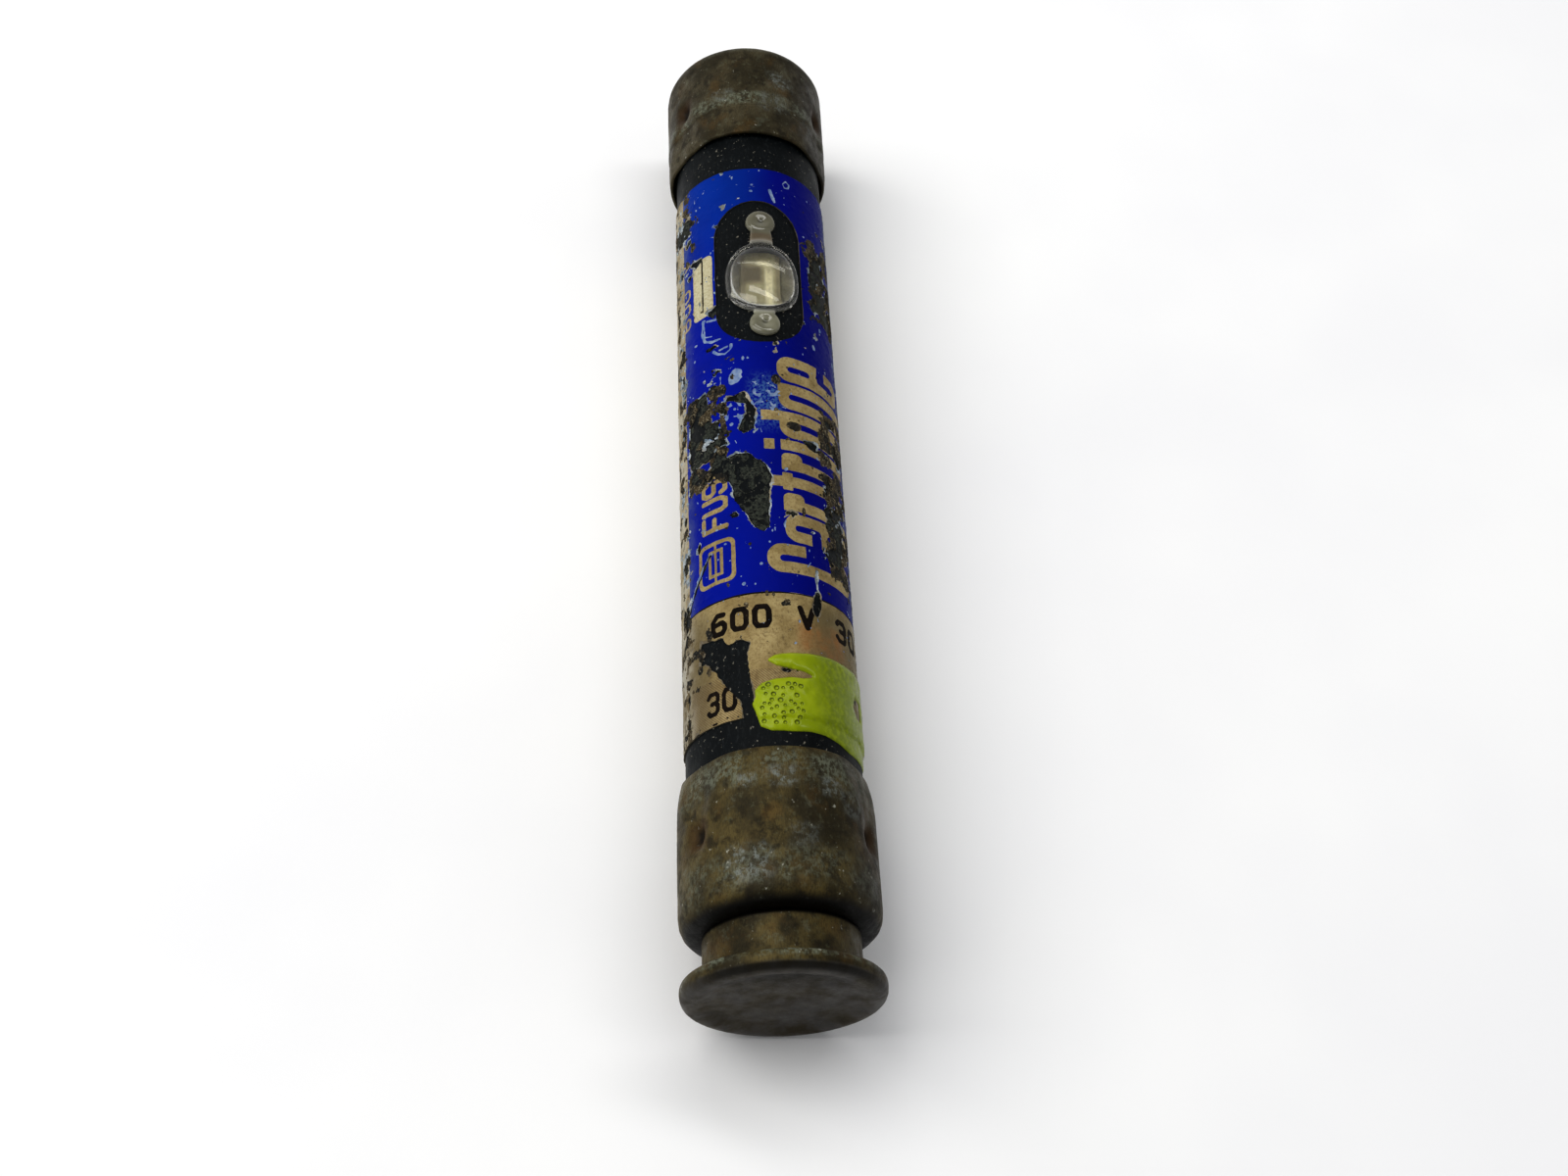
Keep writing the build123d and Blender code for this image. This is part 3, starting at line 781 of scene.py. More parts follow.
def plain_finish(name, first, second, size, roughness, metallic=0.0, depth=0.02, grain=0.4,
                 stretch=(1, 1, 1)):
    """A simple worn finish that drifts between two colours."""
    m = Shader(name, roughness, metallic)
    blotch = m.noise(size, 5, stretch=stretch)
    fleck = m.noise(grain, 3, 0.6)
    m.ground(m.ramp(blotch, 0.35, 0.65), first, second)
    dark = tuple(c * 0.6 for c in srgb(*first)[:3]) + (1.0,)
    m.base = m.mix(m.ramp(fleck, 0.35, 0.75, 0, 0.3), m.base, dark)
    m.rough(blotch, max(roughness - 0.1, 0.05), min(roughness + 0.1, 1))
    m.bump(fleck, depth, 0.6)
    return m.done()


def blue_ink():
    m = Shader("blue_ink", specular=0.03)
    x, a = m.axis("x"), m.angle()
    broad = m.noise(7.0, 3)
    small = m.noise(0.35, 4, 0.65)
    # Painted light: the ink darkens towards -angle, away from the light, and a paler, greener painted sheen
    # lies on the lit +angle side, strongest towards the -X end.
    m.ground(m.ramp(a, -40, 40), (0, 5, 112), (0, 24, 140))
    m.layer(m.times(m.ramp(x, -40, -14, 0.7, 0), m.ramp(a, -15, 20)), 0, 58, 144)
    m.spots(broad, 0.42, 0.70, 0.25, 4, 16, 96)
    m.spots(small, 0.64, 0.80, 0.40, 40, 62, 140)
    # Thinned ink, paler.
    tone_shift = m.both(x, -4.2, 5.0, a, 2, 16)
    m.layer(m.times(tone_shift, m.ramp(small, 0.42, 0.58, 0, 0.85)), 70, 104, 150)
    # Paler towards both sides of the tube: partly real wear, partly painted sheen along the grazing sides.
    worn = m.ramp(m.math("ABSOLUTE", m.math("ADD", a, 2.0)), 56, 78)
    m.layer(m.times(worn, m.ramp(m.noise(1.2, 5), 0.36, 0.60, 0.25, 0.85)), 84, 96, 126)
    m.rough(small, 0.36, 0.52)
    m.bump(m.noise(0.22, 3), 0.010, 0.4)
    return m.done()


def beige_paper():
    m = Shader("beige_paper")
    x, a = m.axis("x"), m.angle()
    broad = m.noise(3.0, 5, 0.6)
    small = m.noise(0.32, 5, 0.7)
    m.ground(m.ramp(broad, 0.35, 0.65), (136, 119, 78), (164, 148, 106))
    m.spots(small, 0.42, 0.70, 0.6, 110, 90, 56)
    m.spots(m.noise(0.6, 6, 0.72, offset=(6, 2, 5)), 0.56, 0.66, 0.6, 84, 68, 42)
    block = m.both(x, -23.5, 9.0, a, 47.5, 16.0)
    m.layer(m.times(block, m.ramp(small, 0.35, 0.65, 0.95, 0.5)), 188, 184, 158)
    # Darker towards both sides of the band past x 20: grime on the +angle side, painted shade on the -angle
    # side away from the light.
    m.layer(m.times(m.ramp(x, 20, 24), m.ramp(m.away(a, 12.0), 22, 46, 0, 0.72)), 92, 82, 56)
    stain = m.both(x, 26.8, 2.6, a, -30, 26)
    m.layer(m.times(stain, m.ramp(broad, 0.38, 0.6, 0.15, 0.8)), 138, 92, 44)
    hatch_turn = m.math("ADD", x, m.times(a, PAPER * math.pi / 180))
    stripe = m.ramp(m.math("SINE", m.times(hatch_turn, 20.0)), -0.2, 0.5, 0, 0.62)
    hatched = m.times(m.ramp(a, -42, -40), m.ramp(a, 66, 68, 1, 0))
    hatched = m.times(m.ramp(x, 30.9, 31.05), hatched)
    m.layer(m.times(hatched, stripe), 92, 74, 54)
    # Paler towards both sides of the tube: partly real wear, partly painted sheen along the grazing sides.
    worn = m.ramp(m.math("ABSOLUTE", a), 58, 78)
    m.layer(m.times(worn, m.ramp(broad, 0.40, 0.6, 0.2, 0.8)), 168, 164, 152)
    m.rough(small, 0.45, 0.65)
    m.bump(m.math("ADD", small, m.noise(0.1, 2)), 0.02, 0.6)
    return m.done()


def torn_paper():
    m = Shader("torn_paper", 0.8)
    broad = m.noise(1.6, 5, 0.65)
    small = m.noise(0.25, 4, 0.7)
    m.ground(m.ramp(broad, 0.38, 0.60), (172, 178, 180), (104, 118, 130))
    m.spots(small, 0.50, 0.66, 0.8, 58, 66, 70)
    m.spots(m.noise(3.2, 3), 0.50, 0.62, 0.6, 158, 142, 108)
    m.spots(m.axis("x"), 21.4, 21.8, 0.8, 104, 90, 62)
    m.bump(small, 0.05, 0.9)
    return m.done()


def crusted_dirt():
    m = Shader("crusted_dirt", 0.75)
    broad = m.noise(1.1, 5, 0.7)
    small = m.noise(0.28, 5, 0.75)
    m.ground(m.ramp(broad, 0.40, 0.56), (15, 15, 14), (70, 60, 42))
    m.spots(small, 0.50, 0.62, 0.85, 118, 108, 84)
    # The palest specks are painted glints; the beige specks before them are grit.
    m.spots(small, 0.57, 0.66, 0.85, 158, 152, 130)
    m.spots(m.noise(1.8, 4), 0.50, 0.58, 0.8, 18, 20, 20)
    m.bump(small, 0.10, 1.0)
    return m.done()


def thin_residue():
    """What is left of the paper and glue on the tube inside a tear."""
    m = Shader("thin_residue", 0.8)
    small = m.noise(0.35, 5, 0.75)
    m.ground(m.ramp(small, 0.40, 0.60), (14, 17, 18), (60, 64, 56))
    m.spots(m.noise(0.2, 3), 0.58, 0.70, 0.6, 96, 96, 82)
    m.bump(small, 0.06, 0.9)
    return m.done()


def black_print():
    m = Shader("black_print", 0.6, specular=0.04)
    worn = m.noise(0.5, 5, 0.7)
    m.ground(m.ramp(m.noise(1.2, 4), 0.35, 0.65), (18, 13, 10), (30, 22, 16))
    m.spots(worn, 0.62, 0.72, 0.7, 104, 88, 60)
    return m.done()


def black_fibre():
    """Black vulcanised fibre with dust and pale specks."""
    m = Shader("black_fibre", specular=0.10)
    broad = m.noise(4.0, 4)
    grain = m.noise(0.3, 4, 0.65, stretch=(2.5, 1, 1))
    specks = m.noise(0.42, 2, offset=(4, 4, 4))
    m.ground(m.ramp(broad, 0.3, 0.7), (2, 6, 8), (8, 14, 17))
    m.spots(grain, 0.50, 0.75, 0.5, 44, 48, 50)
    m.spots(specks, 0.66, 0.72, 0.75, 132, 128, 116)
    m.rough(broad, 0.38, 0.58)
    m.bump(grain, 0.03, 0.6)
    return m.done()


def paint_skin():
    """Thick yellow-green marker paint, with painted shade on its side away from the light and painted light
    on its lit side.
    """
    m = Shader("yellow_green_paint")
    a = m.angle()
    broad = m.noise(2.5, 3)
    small = m.noise(0.5, 4)
    m.ground(m.ramp(broad, 0.35, 0.65), (130, 145, 0), (146, 160, 2))
    # Painted shade: the paint darkens towards -angle, the side away from the light.
    tone_shift = m.times(m.ramp(a, -34, -16, 1, 0), m.ramp(small, 0.35, 0.6, 0.35, 0.8))
    m.layer(tone_shift, 100, 114, 0)
    # Painted light: the paint is lighter towards +angle, the lit side.
    m.spots(a, 4, 14, 0.35, 152, 168, 18)
    m.rough(broad, 0.20, 0.38)
    m.give("Coat Weight", 0.12)
    m.give("Coat Roughness", 0.12)
    m.bump(small, 0.02, 0.4)
    return m.done()


def cream_strip():
    """The pale strip under the window, with a brighter bar and a scorched end."""
    m = Shader("cream_strip", 0.6)
    x, y = m.axis("x"), m.axis("y")
    fleck = m.noise(0.4, 4)
    m.ground(m.ramp(m.noise(1.4, 4), 0.35, 0.65), (182, 176, 146), (206, 198, 166))
    m.spots(m.math("ABSOLUTE", y), 1.15, 1.5, 0.6, 120, 110, 88)
    block = m.both(x, -24.4, 1.9, y, -0.7, 1.2)
    m.layer(m.times(block, 0.85), 104, 92, 78)
    m.layer(m.both(x, -22.1, 4.6, y, 0.72, 0.50), 252, 247, 218)
    m.layer(m.both(x, -26.0, 0.5, y, 0.2, 0.9), 240, 234, 204)
    m.spots(fleck, 0.45, 0.75, 0.35, 132, 122, 96)
    m.bump(fleck, 0.02, 0.5)
    return m.done()


def clear_plastic():
    """The window: clear over the strip, milky in its flange and ears."""
    m = Shader("clear_plastic", 0.05, specular=0.5)
    m.give("IOR", 1.49)
    x, y = m.axis("x"), m.axis("y")
    from_middle = m.span(m.math("ADD", x, 23.0), y)
    scuffs = m.noise(0.7, 5, 0.65)
    milk = m.ramp(from_middle, 4.9, 6.2, 0.0, 1.0)
    m.ground(m.ramp(m.noise(2.5, 2), 0.40, 0.60), (140, 138, 118), (164, 162, 140))
    m.spots(x, -27.5, -30.0, 0.6, 112, 108, 92)
    m.layer(m.times(m.near(x, -29.2, 1.0), 0.5), 128, 104, 78)
    # Painted shade: a darker spot over each ear's dimple and peg hole.
    hole = m.span(m.away(m.away(x, -23.85), 8.05), y)
    m.layer(m.ramp(hole, 0.15, 0.5, 0.6, 0), 70, 68, 56)
    m.base = m.mix(milk, (0.92, 0.91, 0.84, 1), m.base)
    m.give("Transmission Weight", m.ramp(milk, 0.0, 0.9, 0.98, 0.45))
    m.give("Roughness", m.ramp(scuffs, 0.45, 0.75, 0.03, 0.18))
    m.bump(m.noise(1.1, 2, stretch=(8, 1, 1)), 0.02, 0.25)
    return m.done()


CAP_PATCHES = [(-57.2, -20, 1.9, 0.8), (-54.2, 24, 1.5, 0.7), (-53.0, -14, 2.2, 0.6), (-51.0, -44, 1.6, 0.6)]
GROOVED_PATCHES = [(43.8, 24, 1.1, 0.9), (43.6, 3, 1.6, 1.0), (44.4, -26, 1.5, 0.8), (45.8, -44, 2.0, 0.7),
                   (52.6, 24, 2.6, 0.9), (50.0, -8, 1.8, 0.4)]
mat_plain_cap = patina("patina_plain", [(-53.4, 1.5, 0.9), (-63.2, 1.4, 0.4)], CAP_PATCHES, crimp=-55.2,
                       pale=(76, 69, 49))
mat_reject_cap = patina("patina_grooved", [(42.4, 2.6, 0.8), (53.2, 2.8, 0.5)], GROOVED_PATCHES,
                        groove_shade_and_grime=(57.0, 1.5), crimp=48.0)
mat_knob = patina("patina_knob", [(61.6, 0.8, 0.9)], groove_shade_and_grime=(56.7, 0.6), face=63.5)
mat_edge = plain_finish("paper_edge", (66, 62, 54), (104, 98, 84), 0.8, 0.8, grain=0.15)
mat_scuffs = plain_finish("scuffed_ink", (100, 122, 162), (146, 160, 178), 0.8, 0.7, grain=0.2)
mat_pits = plain_finish("bubble_walls", (74, 84, 4), (100, 112, 6), 0.8, 0.4, depth=0.01, grain=0.2)


# ---- the label as one net of faces


def field_points(step_x, step_s, keep):
    """Points spread evenly over the label, where keep holds."""
    nx = max(1, round(step_x / STEP))
    ns = max(1, round(step_s / S_STEP))
    i, j = np.meshgrid(np.arange(1, len(xs) - 1, nx), np.arange(1, len(ss) - 1, ns), indexing="ij")
    chosen = keep[i, j]
    i, j = i[chosen], j[chosen]
    jitter = np.random.default_rng(5).uniform(-0.01, 0.01, (len(i), 2))
    return np.stack([xs[i], ss[j]], 1) + jitter


inside_paper = paper < -0.06
whole = inside_paper & (torn > 0.05)
busy = whole & ((np.abs(height - PAPER) > 0.02) | (core < 0.8))
printed = whole & (core > 0)
lines = [
    contours(paper),
    contours(torn, inside_paper),
    contours(residue, (torn < -0.02) & inside_paper),
    contours(core, whole),
]
lines += [contours(field, printed) for field in (grime, black, blue)]
extra = np.concatenate([field_points(1.0, 0.4, whole), field_points(0.2, 0.2, busy)])
flat, faces = triangulate(lines, extra)
middle = flat[faces].mean(1)


def inside(field):
    """Whether the middle of each face is inside a field's shape."""
    return sample(field, middle[:, 0], middle[:, 1]) < 0


present = inside(paper) & (~inside(torn) | inside(residue))
faces, middle = faces[present][:, ::-1], middle[present]
kind = np.zeros(len(faces), int)
kind[inside(blue)] = 1
kind[inside(black)] = 2
kind[inside(core)] = 3
kind[inside(core) & inside(scuffs)] = 6
kind[inside(grime)] = 4
kind[inside(torn)] = 5
top = rolled(flat, sample(height, flat[:, 0], flat[:, 1]))

LABEL_PIECES = [
    ("label_beige_paper", beige_paper()),
    ("label_blue_ink", blue_ink()),
    ("label_black_print", black_print()),
    ("label_torn_fibres", torn_paper()),
    ("label_crusted_dirt", crusted_dirt()),
    ("label_thin_residue", thin_residue()),
    ("label_scuffs", mat_scuffs),
]
label_pieces = []
for number, (name, material) in enumerate(LABEL_PIECES):
    used, corners = np.unique(faces[kind == number], return_inverse=True)
    label_pieces.append(make_mesh(name, top[used], corners.reshape(-1, 3), [material]))

# The paper's cut and torn edges, down to the tube
rim, points, foot = rim_of(flat, faces)
order = {p: k for k, p in enumerate(points)}
walls = [(order[b], order[a], order[a] + len(points), order[b] + len(points)) for a, b in rim]
edges = make_mesh("label_paper_edges", np.concatenate([top[points], foot]), walls, [mat_edge], False)
for piece in label_pieces + [edges]:
    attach(piece, "fuse")
    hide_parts("paper_label")


# ---- the paint smear

BUBBLES = 36
# A bubble's dark wall and the rings of points round its middle, as shares of its radius
PIT = (0.5, 0.86)
RINGS = (0.5, 0.85, 1.2)
RING_POINTS = 14
RING_STEP = 0.4488
PAINT_DEPTH = 0.20

smear = blank()
paint(
    smear,
    patch([(28.9, -100), (28.8, -60), (28.9, -40), (29.1, -20), (29.3, -6), (29.6, 4), (30.0, 7.5),
           (30.5, 3), (30.8, -8), (31.0, -15), (31.4, -20.5), (31.9, -20.5), (32.2, -14), (32.3, -2),
           (32.5, 6), (32.9, 13), (33.6, 16.5), (34.4, 16), (35.0, 18.5), (35.7, 17), (36.6, 15.5),
           (37.5, 14), (38.0, 8), (38.05, -4), (37.9, -16), (38.0, -28), (38.4, -40), (38.8, -50),
           (38.9, -66), (38.5, -84), (37.6, -96), (36.0, -101), (34.6, -94), (33.4, -103), (31.8, -97),
           (30.4, -104)]),
)
smear = smear - 0.18 + 0.05 * fractal(41, 2.2, 3)
erase(smear, patch([(31.5, -72), (33.8, -72), (34.0, -62), (33.0, -57), (31.7, -60)]))
body = PAINT_DEPTH * np.sqrt(np.clip(1 - (1 - np.clip(-smear / 0.75, 0, 1)) ** 2, 0, 1))
body *= 0.75 + 0.25 * smooth((GS - arc(-40)) / 5) + 0.12 * fractal(42, 1.8, 3)
groove = np.abs(GX - 36.45 + 0.04 * fractal(43, 2.5, 2))
body -= 0.09 * np.exp(-((groove / 0.09) ** 2)) * smooth((arc(-2) - GS) / 1.0)
rng = np.random.default_rng(44)
bubble_points = []
bubbles = []
while len(bubbles) < BUBBLES:
    x, a = rng.uniform(32.9, 37.4), rng.uniform(-12, 14.5)
    size = rng.uniform(0.20, 0.36)
    if all(math.hypot(x - u, arc(a) - arc(b)) > size + r + 0.02 for u, b, r in bubbles):
        bubbles.append((x, a, size))
for x, a, size in bubbles:
    away = np.hypot(GX - x, GS - arc(a))
    body += 0.05 * np.exp(-(((away - size) / 0.08) ** 2)) - 0.13 * np.exp(-((away / (size * 0.66)) ** 4))
    for turn in range(RING_POINTS):
        way = turn * RING_STEP
        for reach in (size * share for share in RINGS):
            bubble_points.append((x + reach * math.cos(way), arc(a) + reach * math.sin(way)))
under = np.where(paper < 0, height, TUBE)
for _ in range(3):
    under[1:-1] = np.maximum(under[1:-1], np.maximum(under[:-2], under[2:]))
paint_height = under + 0.02 + np.clip(body, 0.0, None)
extra = np.concatenate([field_points(0.2, 0.2, smear < -0.07), np.array(bubble_points)])
flat, faces = triangulate([contours(smear)], extra)
middle = flat[faces].mean(1)
present = inside(smear)
faces, middle = faces[present][:, ::-1], middle[present]
top = rolled(flat, sample(paint_height, flat[:, 0], flat[:, 1]))
rim, points, foot = rim_of(flat, faces)
order = {p: k + len(top) for k, p in enumerate(points)}
walls = []
for a, b in rim:
    walls += [(b, a, order[a]), (b, order[a], order[b])]
pitted = np.zeros(len(faces) + len(walls), int)
for x, a, size in bubbles:
    away = np.hypot(middle[:, 0] - x, middle[:, 1] - arc(a))
    pitted[: len(faces)][(away > size * PIT[0]) & (away < size * PIT[1])] = 1
verts = np.concatenate([top, foot])
paint_smear = make_mesh("paint_smear", verts, list(faces) + walls, [paint_skin(), mat_pits], slots=pitted)
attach(paint_smear, "fuse")


# ---- ferrules and knob, turned and pressed


def rounded(profile, steps=5):
    """A turned profile of (x, radius, rounding) corners, with its roundings and close stations."""
    out = []
    count = len(profile)
    for k, (x, r, rounding) in enumerate(profile):
        p = Vector((x, r))
        if rounding <= 0 or k in (0, count - 1):
            out.append(p)
            continue
        a = Vector(profile[k - 1][:2]) - p
        b = Vector(profile[k + 1][:2]) - p
        start, end = p + a.normalized() * rounding, p + b.normalized() * rounding
        for n in range(steps + 1):
            t = n / steps
            out.append(start * (1 - t) ** 2 + p * 2 * t * (1 - t) + end * t * t)
    spread = [out[0]]
    for p, q in zip(out[:-1], out[1:]):
        gap = (q - p).length
        pieces = max(1, int(gap / 0.3))
        for n in range(1, pieces + 1):
            spread.append(p.lerp(q, n / pieces))
    return spread


SEGMENTS = 288
CRIMP_ANGLES = (60, -60, 180)
CRIMP_DEPTH = 0.90
SKIRT_DEPTH = 0.16
FLAT_DEPTH = 0.42


def turned_piece(name, profile, material, seed, crimp=None):
    """A lathe-turned piece. Where crimp gives a place and the way to the rim, it has three crimps."""
    stations = rounded(profile)
    closed = profile[0][:2] == profile[-1][:2]
    if closed:
        stations = stations[:-1]
    shape = (len(stations), SEGMENTS)
    X = np.broadcast_to(np.array([p.x for p in stations])[:, None], shape)
    R = np.broadcast_to(np.array([p.y for p in stations])[:, None], shape)
    A = np.broadcast_to(np.linspace(0, 2 * math.pi, SEGMENTS, endpoint=False), shape)
    outer = smooth((R - 9.5) / 0.15)
    points = np.stack([X.ravel(), (-R * np.sin(A)).ravel(), (R * np.cos(A)).ravel()], 1)
    wobble = noise3(points, 5.0, seed, 3).reshape(shape)
    pits = noise3(points, 0.9, seed + 7, 2).reshape(shape)
    R = R + (0.030 * wobble + 0.010 * pits) * smooth((R - 7.5) / 0.3)
    if crimp is not None:
        along = (X - crimp[0]) * crimp[1]
        for centre in CRIMP_ANGLES:
            around = ((A - math.radians(centre) + math.pi) % (2 * math.pi) - math.pi) * FERRULE
            pit = CRIMP_DEPTH * np.exp(-((along / 1.25) ** 2) - (around / 1.0) ** 2)
            skirt = SKIRT_DEPTH * np.exp(-((along / 2.2) ** 2) - (around / 2.2) ** 2)
            reach = 1.2 + 0.36 * np.clip(along, 0, 9)
            flat_face = FLAT_DEPTH * smooth(along / 3.6) * smooth(1.25 - np.abs(around) / reach)
            R = R - outer * (pit + skirt + flat_face)
    verts = np.stack([X, -R * np.sin(A), R * np.cos(A)], 2).reshape(-1, 3) * MM
    rows = len(stations)
    faces = []
    for i in range(rows if closed else rows - 1):
        a, b = i * SEGMENTS, ((i + 1) % rows) * SEGMENTS
        for j in range(SEGMENTS):
            k = (j + 1) % SEGMENTS
            faces.append((a + j, b + j, b + k, a + k))
    return make_mesh(name, verts, faces, [material])


plain_ferrule = turned_piece(
    "plain_ferrule",
    [(-63.5, 0.02, 0), (-63.5, FERRULE, 1.6), (-52.3, FERRULE, 0.4), (-51.9, 10.20, 0.2), (-48.6, 10.20, 0.5),
     (-47.3, 10.08, 0.22), (-47.3, 9.72, 0.1), (-49.5, 9.36, 0.5), (-62.5, 9.36, 0.2), (-62.5, 0.02, 0)],
    mat_plain_cap, 51, crimp=(-55.2, 1.0),
)
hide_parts("plain_end_cap")
grooved_ferrule = turned_piece(
    "grooved_ferrule",
    [(40.1, 9.66, 0), (40.1, 9.80, 0.10), (41.1, 10.00, 0.45), (42.4, 10.19, 0.55), (44.6, FERRULE, 0.9),
     (56.8, FERRULE, 2.4), (56.8, 4.02, 0), (56.2, 4.02, 0), (56.2, 9.36, 0.2), (41.5, 9.36, 0.5),
     (40.1, 9.66, 0)],
    mat_reject_cap, 61, crimp=(48.0, -1.0),
)
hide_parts("rejection_cap")
grooved_knob = turned_piece(
    "grooved_knob",
    [(55.2, 0.02, 0), (55.2, 5.4, 0.5), (56.2, 5.4, 0), (56.2, 4.0, 0), (56.8, 4.0, 0), (56.82, 8.0, 0),
     (61.4, 8.0, 0.8), (61.4, FERRULE, 0.7), (63.5, FERRULE, 1.25), (63.5, 8.6, 0.4), (63.05, 7.3, 0.5),
     (63.12, 0.02, 0)],
    mat_knob, 71,
)
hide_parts("rejection_knob")
for piece in (plain_ferrule, grooved_ferrule, grooved_knob):
    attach(piece, "fuse")


# ---- the clear window

LENS_X = -23.0
# Length before the stretch, from the middle, and whole width
LENS = (5.15, 8.9)
PLUG = (4.3, 7.2)
STRETCH = 1.05
SQUARENESS = 2.35
PLUG_FOOT = 7.2
EAR_X = -23.85
EAR_REACH = 8.05
EAR_RADIUS = 1.83
PEG_RADIUS = 0.7
PEG_FOOT = 8.3
LENS_STEP = 0.09
FLANGE_TOP = 9.62
EDGE_RISE = 0.33
DOME_RISE = 0.92
DOME_X = -22.75
DOME_LONG = 4.85
DOME_WIDE = 3.85
SEAT_RADIUS = 9.465


def from_ear(x, y):
    """The distance from the middle of the nearer ear."""
    return np.hypot(np.abs(x - EAR_X) - EAR_REACH, y)


def from_oval(x, y, long, wide):
    """Distance outside a long, squarish oval."""
    half = wide / 2
    power = (np.abs(x - LENS_X) / (long * STRETCH)) ** SQUARENESS + (np.abs(y) / half) ** SQUARENESS
    return (power ** (1 / SQUARENESS) - 1) * half


def from_outline(x, y):
    """Distance outside the whole window, with its two ears and their necks."""
    away = np.abs(x - EAR_X) - EAR_REACH
    d = np.minimum(from_oval(x, y, *LENS), from_ear(x, y) - EAR_RADIUS)
    return np.minimum(d, np.maximum(np.abs(y) - 1.35 + 0.12 * np.cos((x - EAR_X) * 0.8), away))


def from_dome(x, y):
    """0 at the top of the dome and 1 at its edge."""
    return (np.abs(x - DOME_X) / DOME_LONG) ** 2.3 + (np.abs(y) / DOME_WIDE) ** 2.3


def build_lens():
    gx = np.arange(-34.6, -13.2, LENS_STEP)
    gy = np.arange(-5.2, 5.2 + LENS_STEP, LENS_STEP)
    X, Y = np.meshgrid(gx, gy, indexing="ij")
    outline, dome = from_outline(X, Y), from_dome(X, Y) - 1
    fields = (outline, from_oval(X, Y, *PLUG), from_ear(X, Y) - PEG_RADIUS, dome)
    i, j = np.meshgrid(np.arange(1, len(gx) - 1), np.arange(1, len(gy) - 1), indexing="ij")
    close = (np.abs(dome) < 0.25) | (np.abs(outline) < 0.4)
    keep = (outline[i, j] < -0.05) & (close[i, j] | ((i % 2 == 1) & (j % 2 == 1)))
    points = np.stack([gx[i[keep]], gy[j[keep]]], 1)
    flat, faces = triangulate([contours(field, grid=(gx, gy)) for field in fields], points)
    faces = faces[from_outline(*flat[faces].mean(1).T) < 0]
    mid_x, mid_y = flat[faces].mean(1).T
    region = np.zeros(len(faces), int)
    region[from_oval(mid_x, mid_y, *PLUG) < 0] = 1
    region[from_ear(mid_x, mid_y) < PEG_RADIUS] = 2
    x, y = flat.T
    out, ear = from_outline(x, y), from_ear(x, y)
    shell = FLANGE_TOP + EDGE_RISE * np.sqrt(np.clip(1 - (1 - np.clip(-out / 0.34, 0, 1)) ** 2, 0, 1))
    shell = shell + DOME_RISE * np.clip(1 - from_dome(x, y), 0, 1) ** 0.5
    shell = shell - 0.20 * np.exp(-((ear / 0.45) ** 2)) + 0.09 * np.exp(-(((ear - 1.15) / 0.3) ** 2))
    verts = list(np.stack([x, y, np.sqrt(np.maximum(shell**2 - y**2, 0))], 1))
    seat = np.sqrt(SEAT_RADIUS**2 - y**2)
    bottoms = [seat, np.full(len(x), PLUG_FOOT), np.full(len(x), PEG_FOOT)]
    index = {}

    def below(v, kind):
        """The point under a top point, on one of the three bottoms."""
        if (v, kind) not in index:
            index[(v, kind)] = len(verts)
            verts.append(np.array([x[v], y[v], bottoms[kind][v]]))
        return index[(v, kind)]

    out_faces = [tuple(f) for f in faces]
    sides = {}
    for f, kind in zip(faces, region):
        a, b, c = (int(v) for v in f)
        out_faces.append((below(c, kind), below(b, kind), below(a, kind)))
        for p, q in ((a, b), (b, c), (c, a)):
            sides.setdefault((min(p, q), max(p, q)), []).append((p, q, kind))
    for users in sides.values():
        p, q, first = users[0]
        if len(users) == 1:
            out_faces.append((q, p, below(p, first), below(q, first)))
        elif first != users[1][2]:
            second = users[1][2]
            out_faces.append((below(p, first), below(q, first), below(q, second), below(p, second)))
    lens = make_mesh("window_lens", np.array(verts) * MM, out_faces, [clear_plastic()])
    lens.data.set_sharp_from_angle(angle=math.radians(38))
    return lens


window_lens = build_lens()
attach(window_lens, "fuse")
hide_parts("indicator_lens")


# ---- the trip's spring

TURNS = 4.5
COIL_RADIUS = 3.0
WIRE_RADIUS = 0.35
TURN_STEPS = 64
WIRE_SIDES = 14


def helix(name, start, end, material):
    """A coil of wire along X, a little closer at its ends."""
    verts, faces = [], []
    count = int(TURNS * TURN_STEPS) + 1
    length = end - start - 2 * WIRE_RADIUS
    for n in range(count):
        t = n / (count - 1)
        angle = 2 * math.pi * TURNS * t
        along = start + WIRE_RADIUS + length * (t - 0.06 * math.sin(2 * math.pi * t))
        centre = Vector((along, COIL_RADIUS * math.cos(angle), COIL_RADIUS * math.sin(angle)))
        outward = Vector((0, math.cos(angle), math.sin(angle)))
        for k in range(WIRE_SIDES):
            a = 2 * math.pi * k / WIRE_SIDES
            around = outward * (WIRE_RADIUS * math.cos(a)) + Vector((1, 0, 0)) * (WIRE_RADIUS * math.sin(a))
            verts.append((centre + around) * MM)
    for n in range(count - 1):
        for k in range(WIRE_SIDES):
            m = (k + 1) % WIRE_SIDES
            low, high = n * WIRE_SIDES, (n + 1) * WIRE_SIDES
            faces.append((low + k, low + m, high + m, high + k))
    faces.append(tuple(range(WIRE_SIDES))[::-1])
    faces.append(tuple((count - 1) * WIRE_SIDES + k for k in range(WIRE_SIDES)))
    return make_mesh(name, verts, faces, [material])


spring_low, spring_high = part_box("trip_spring")
mat_spring = plain_finish("spring_steel", (138, 136, 130), (112, 110, 106), 0.8, 0.3, 0.95, 0.01, 0.3)
spring = helix("stretching_spring", spring_low.x / MM, spring_high.x / MM, mat_spring)
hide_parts("trip_spring")
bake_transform(spring)


# ---- finishes of the CAD pieces that stay

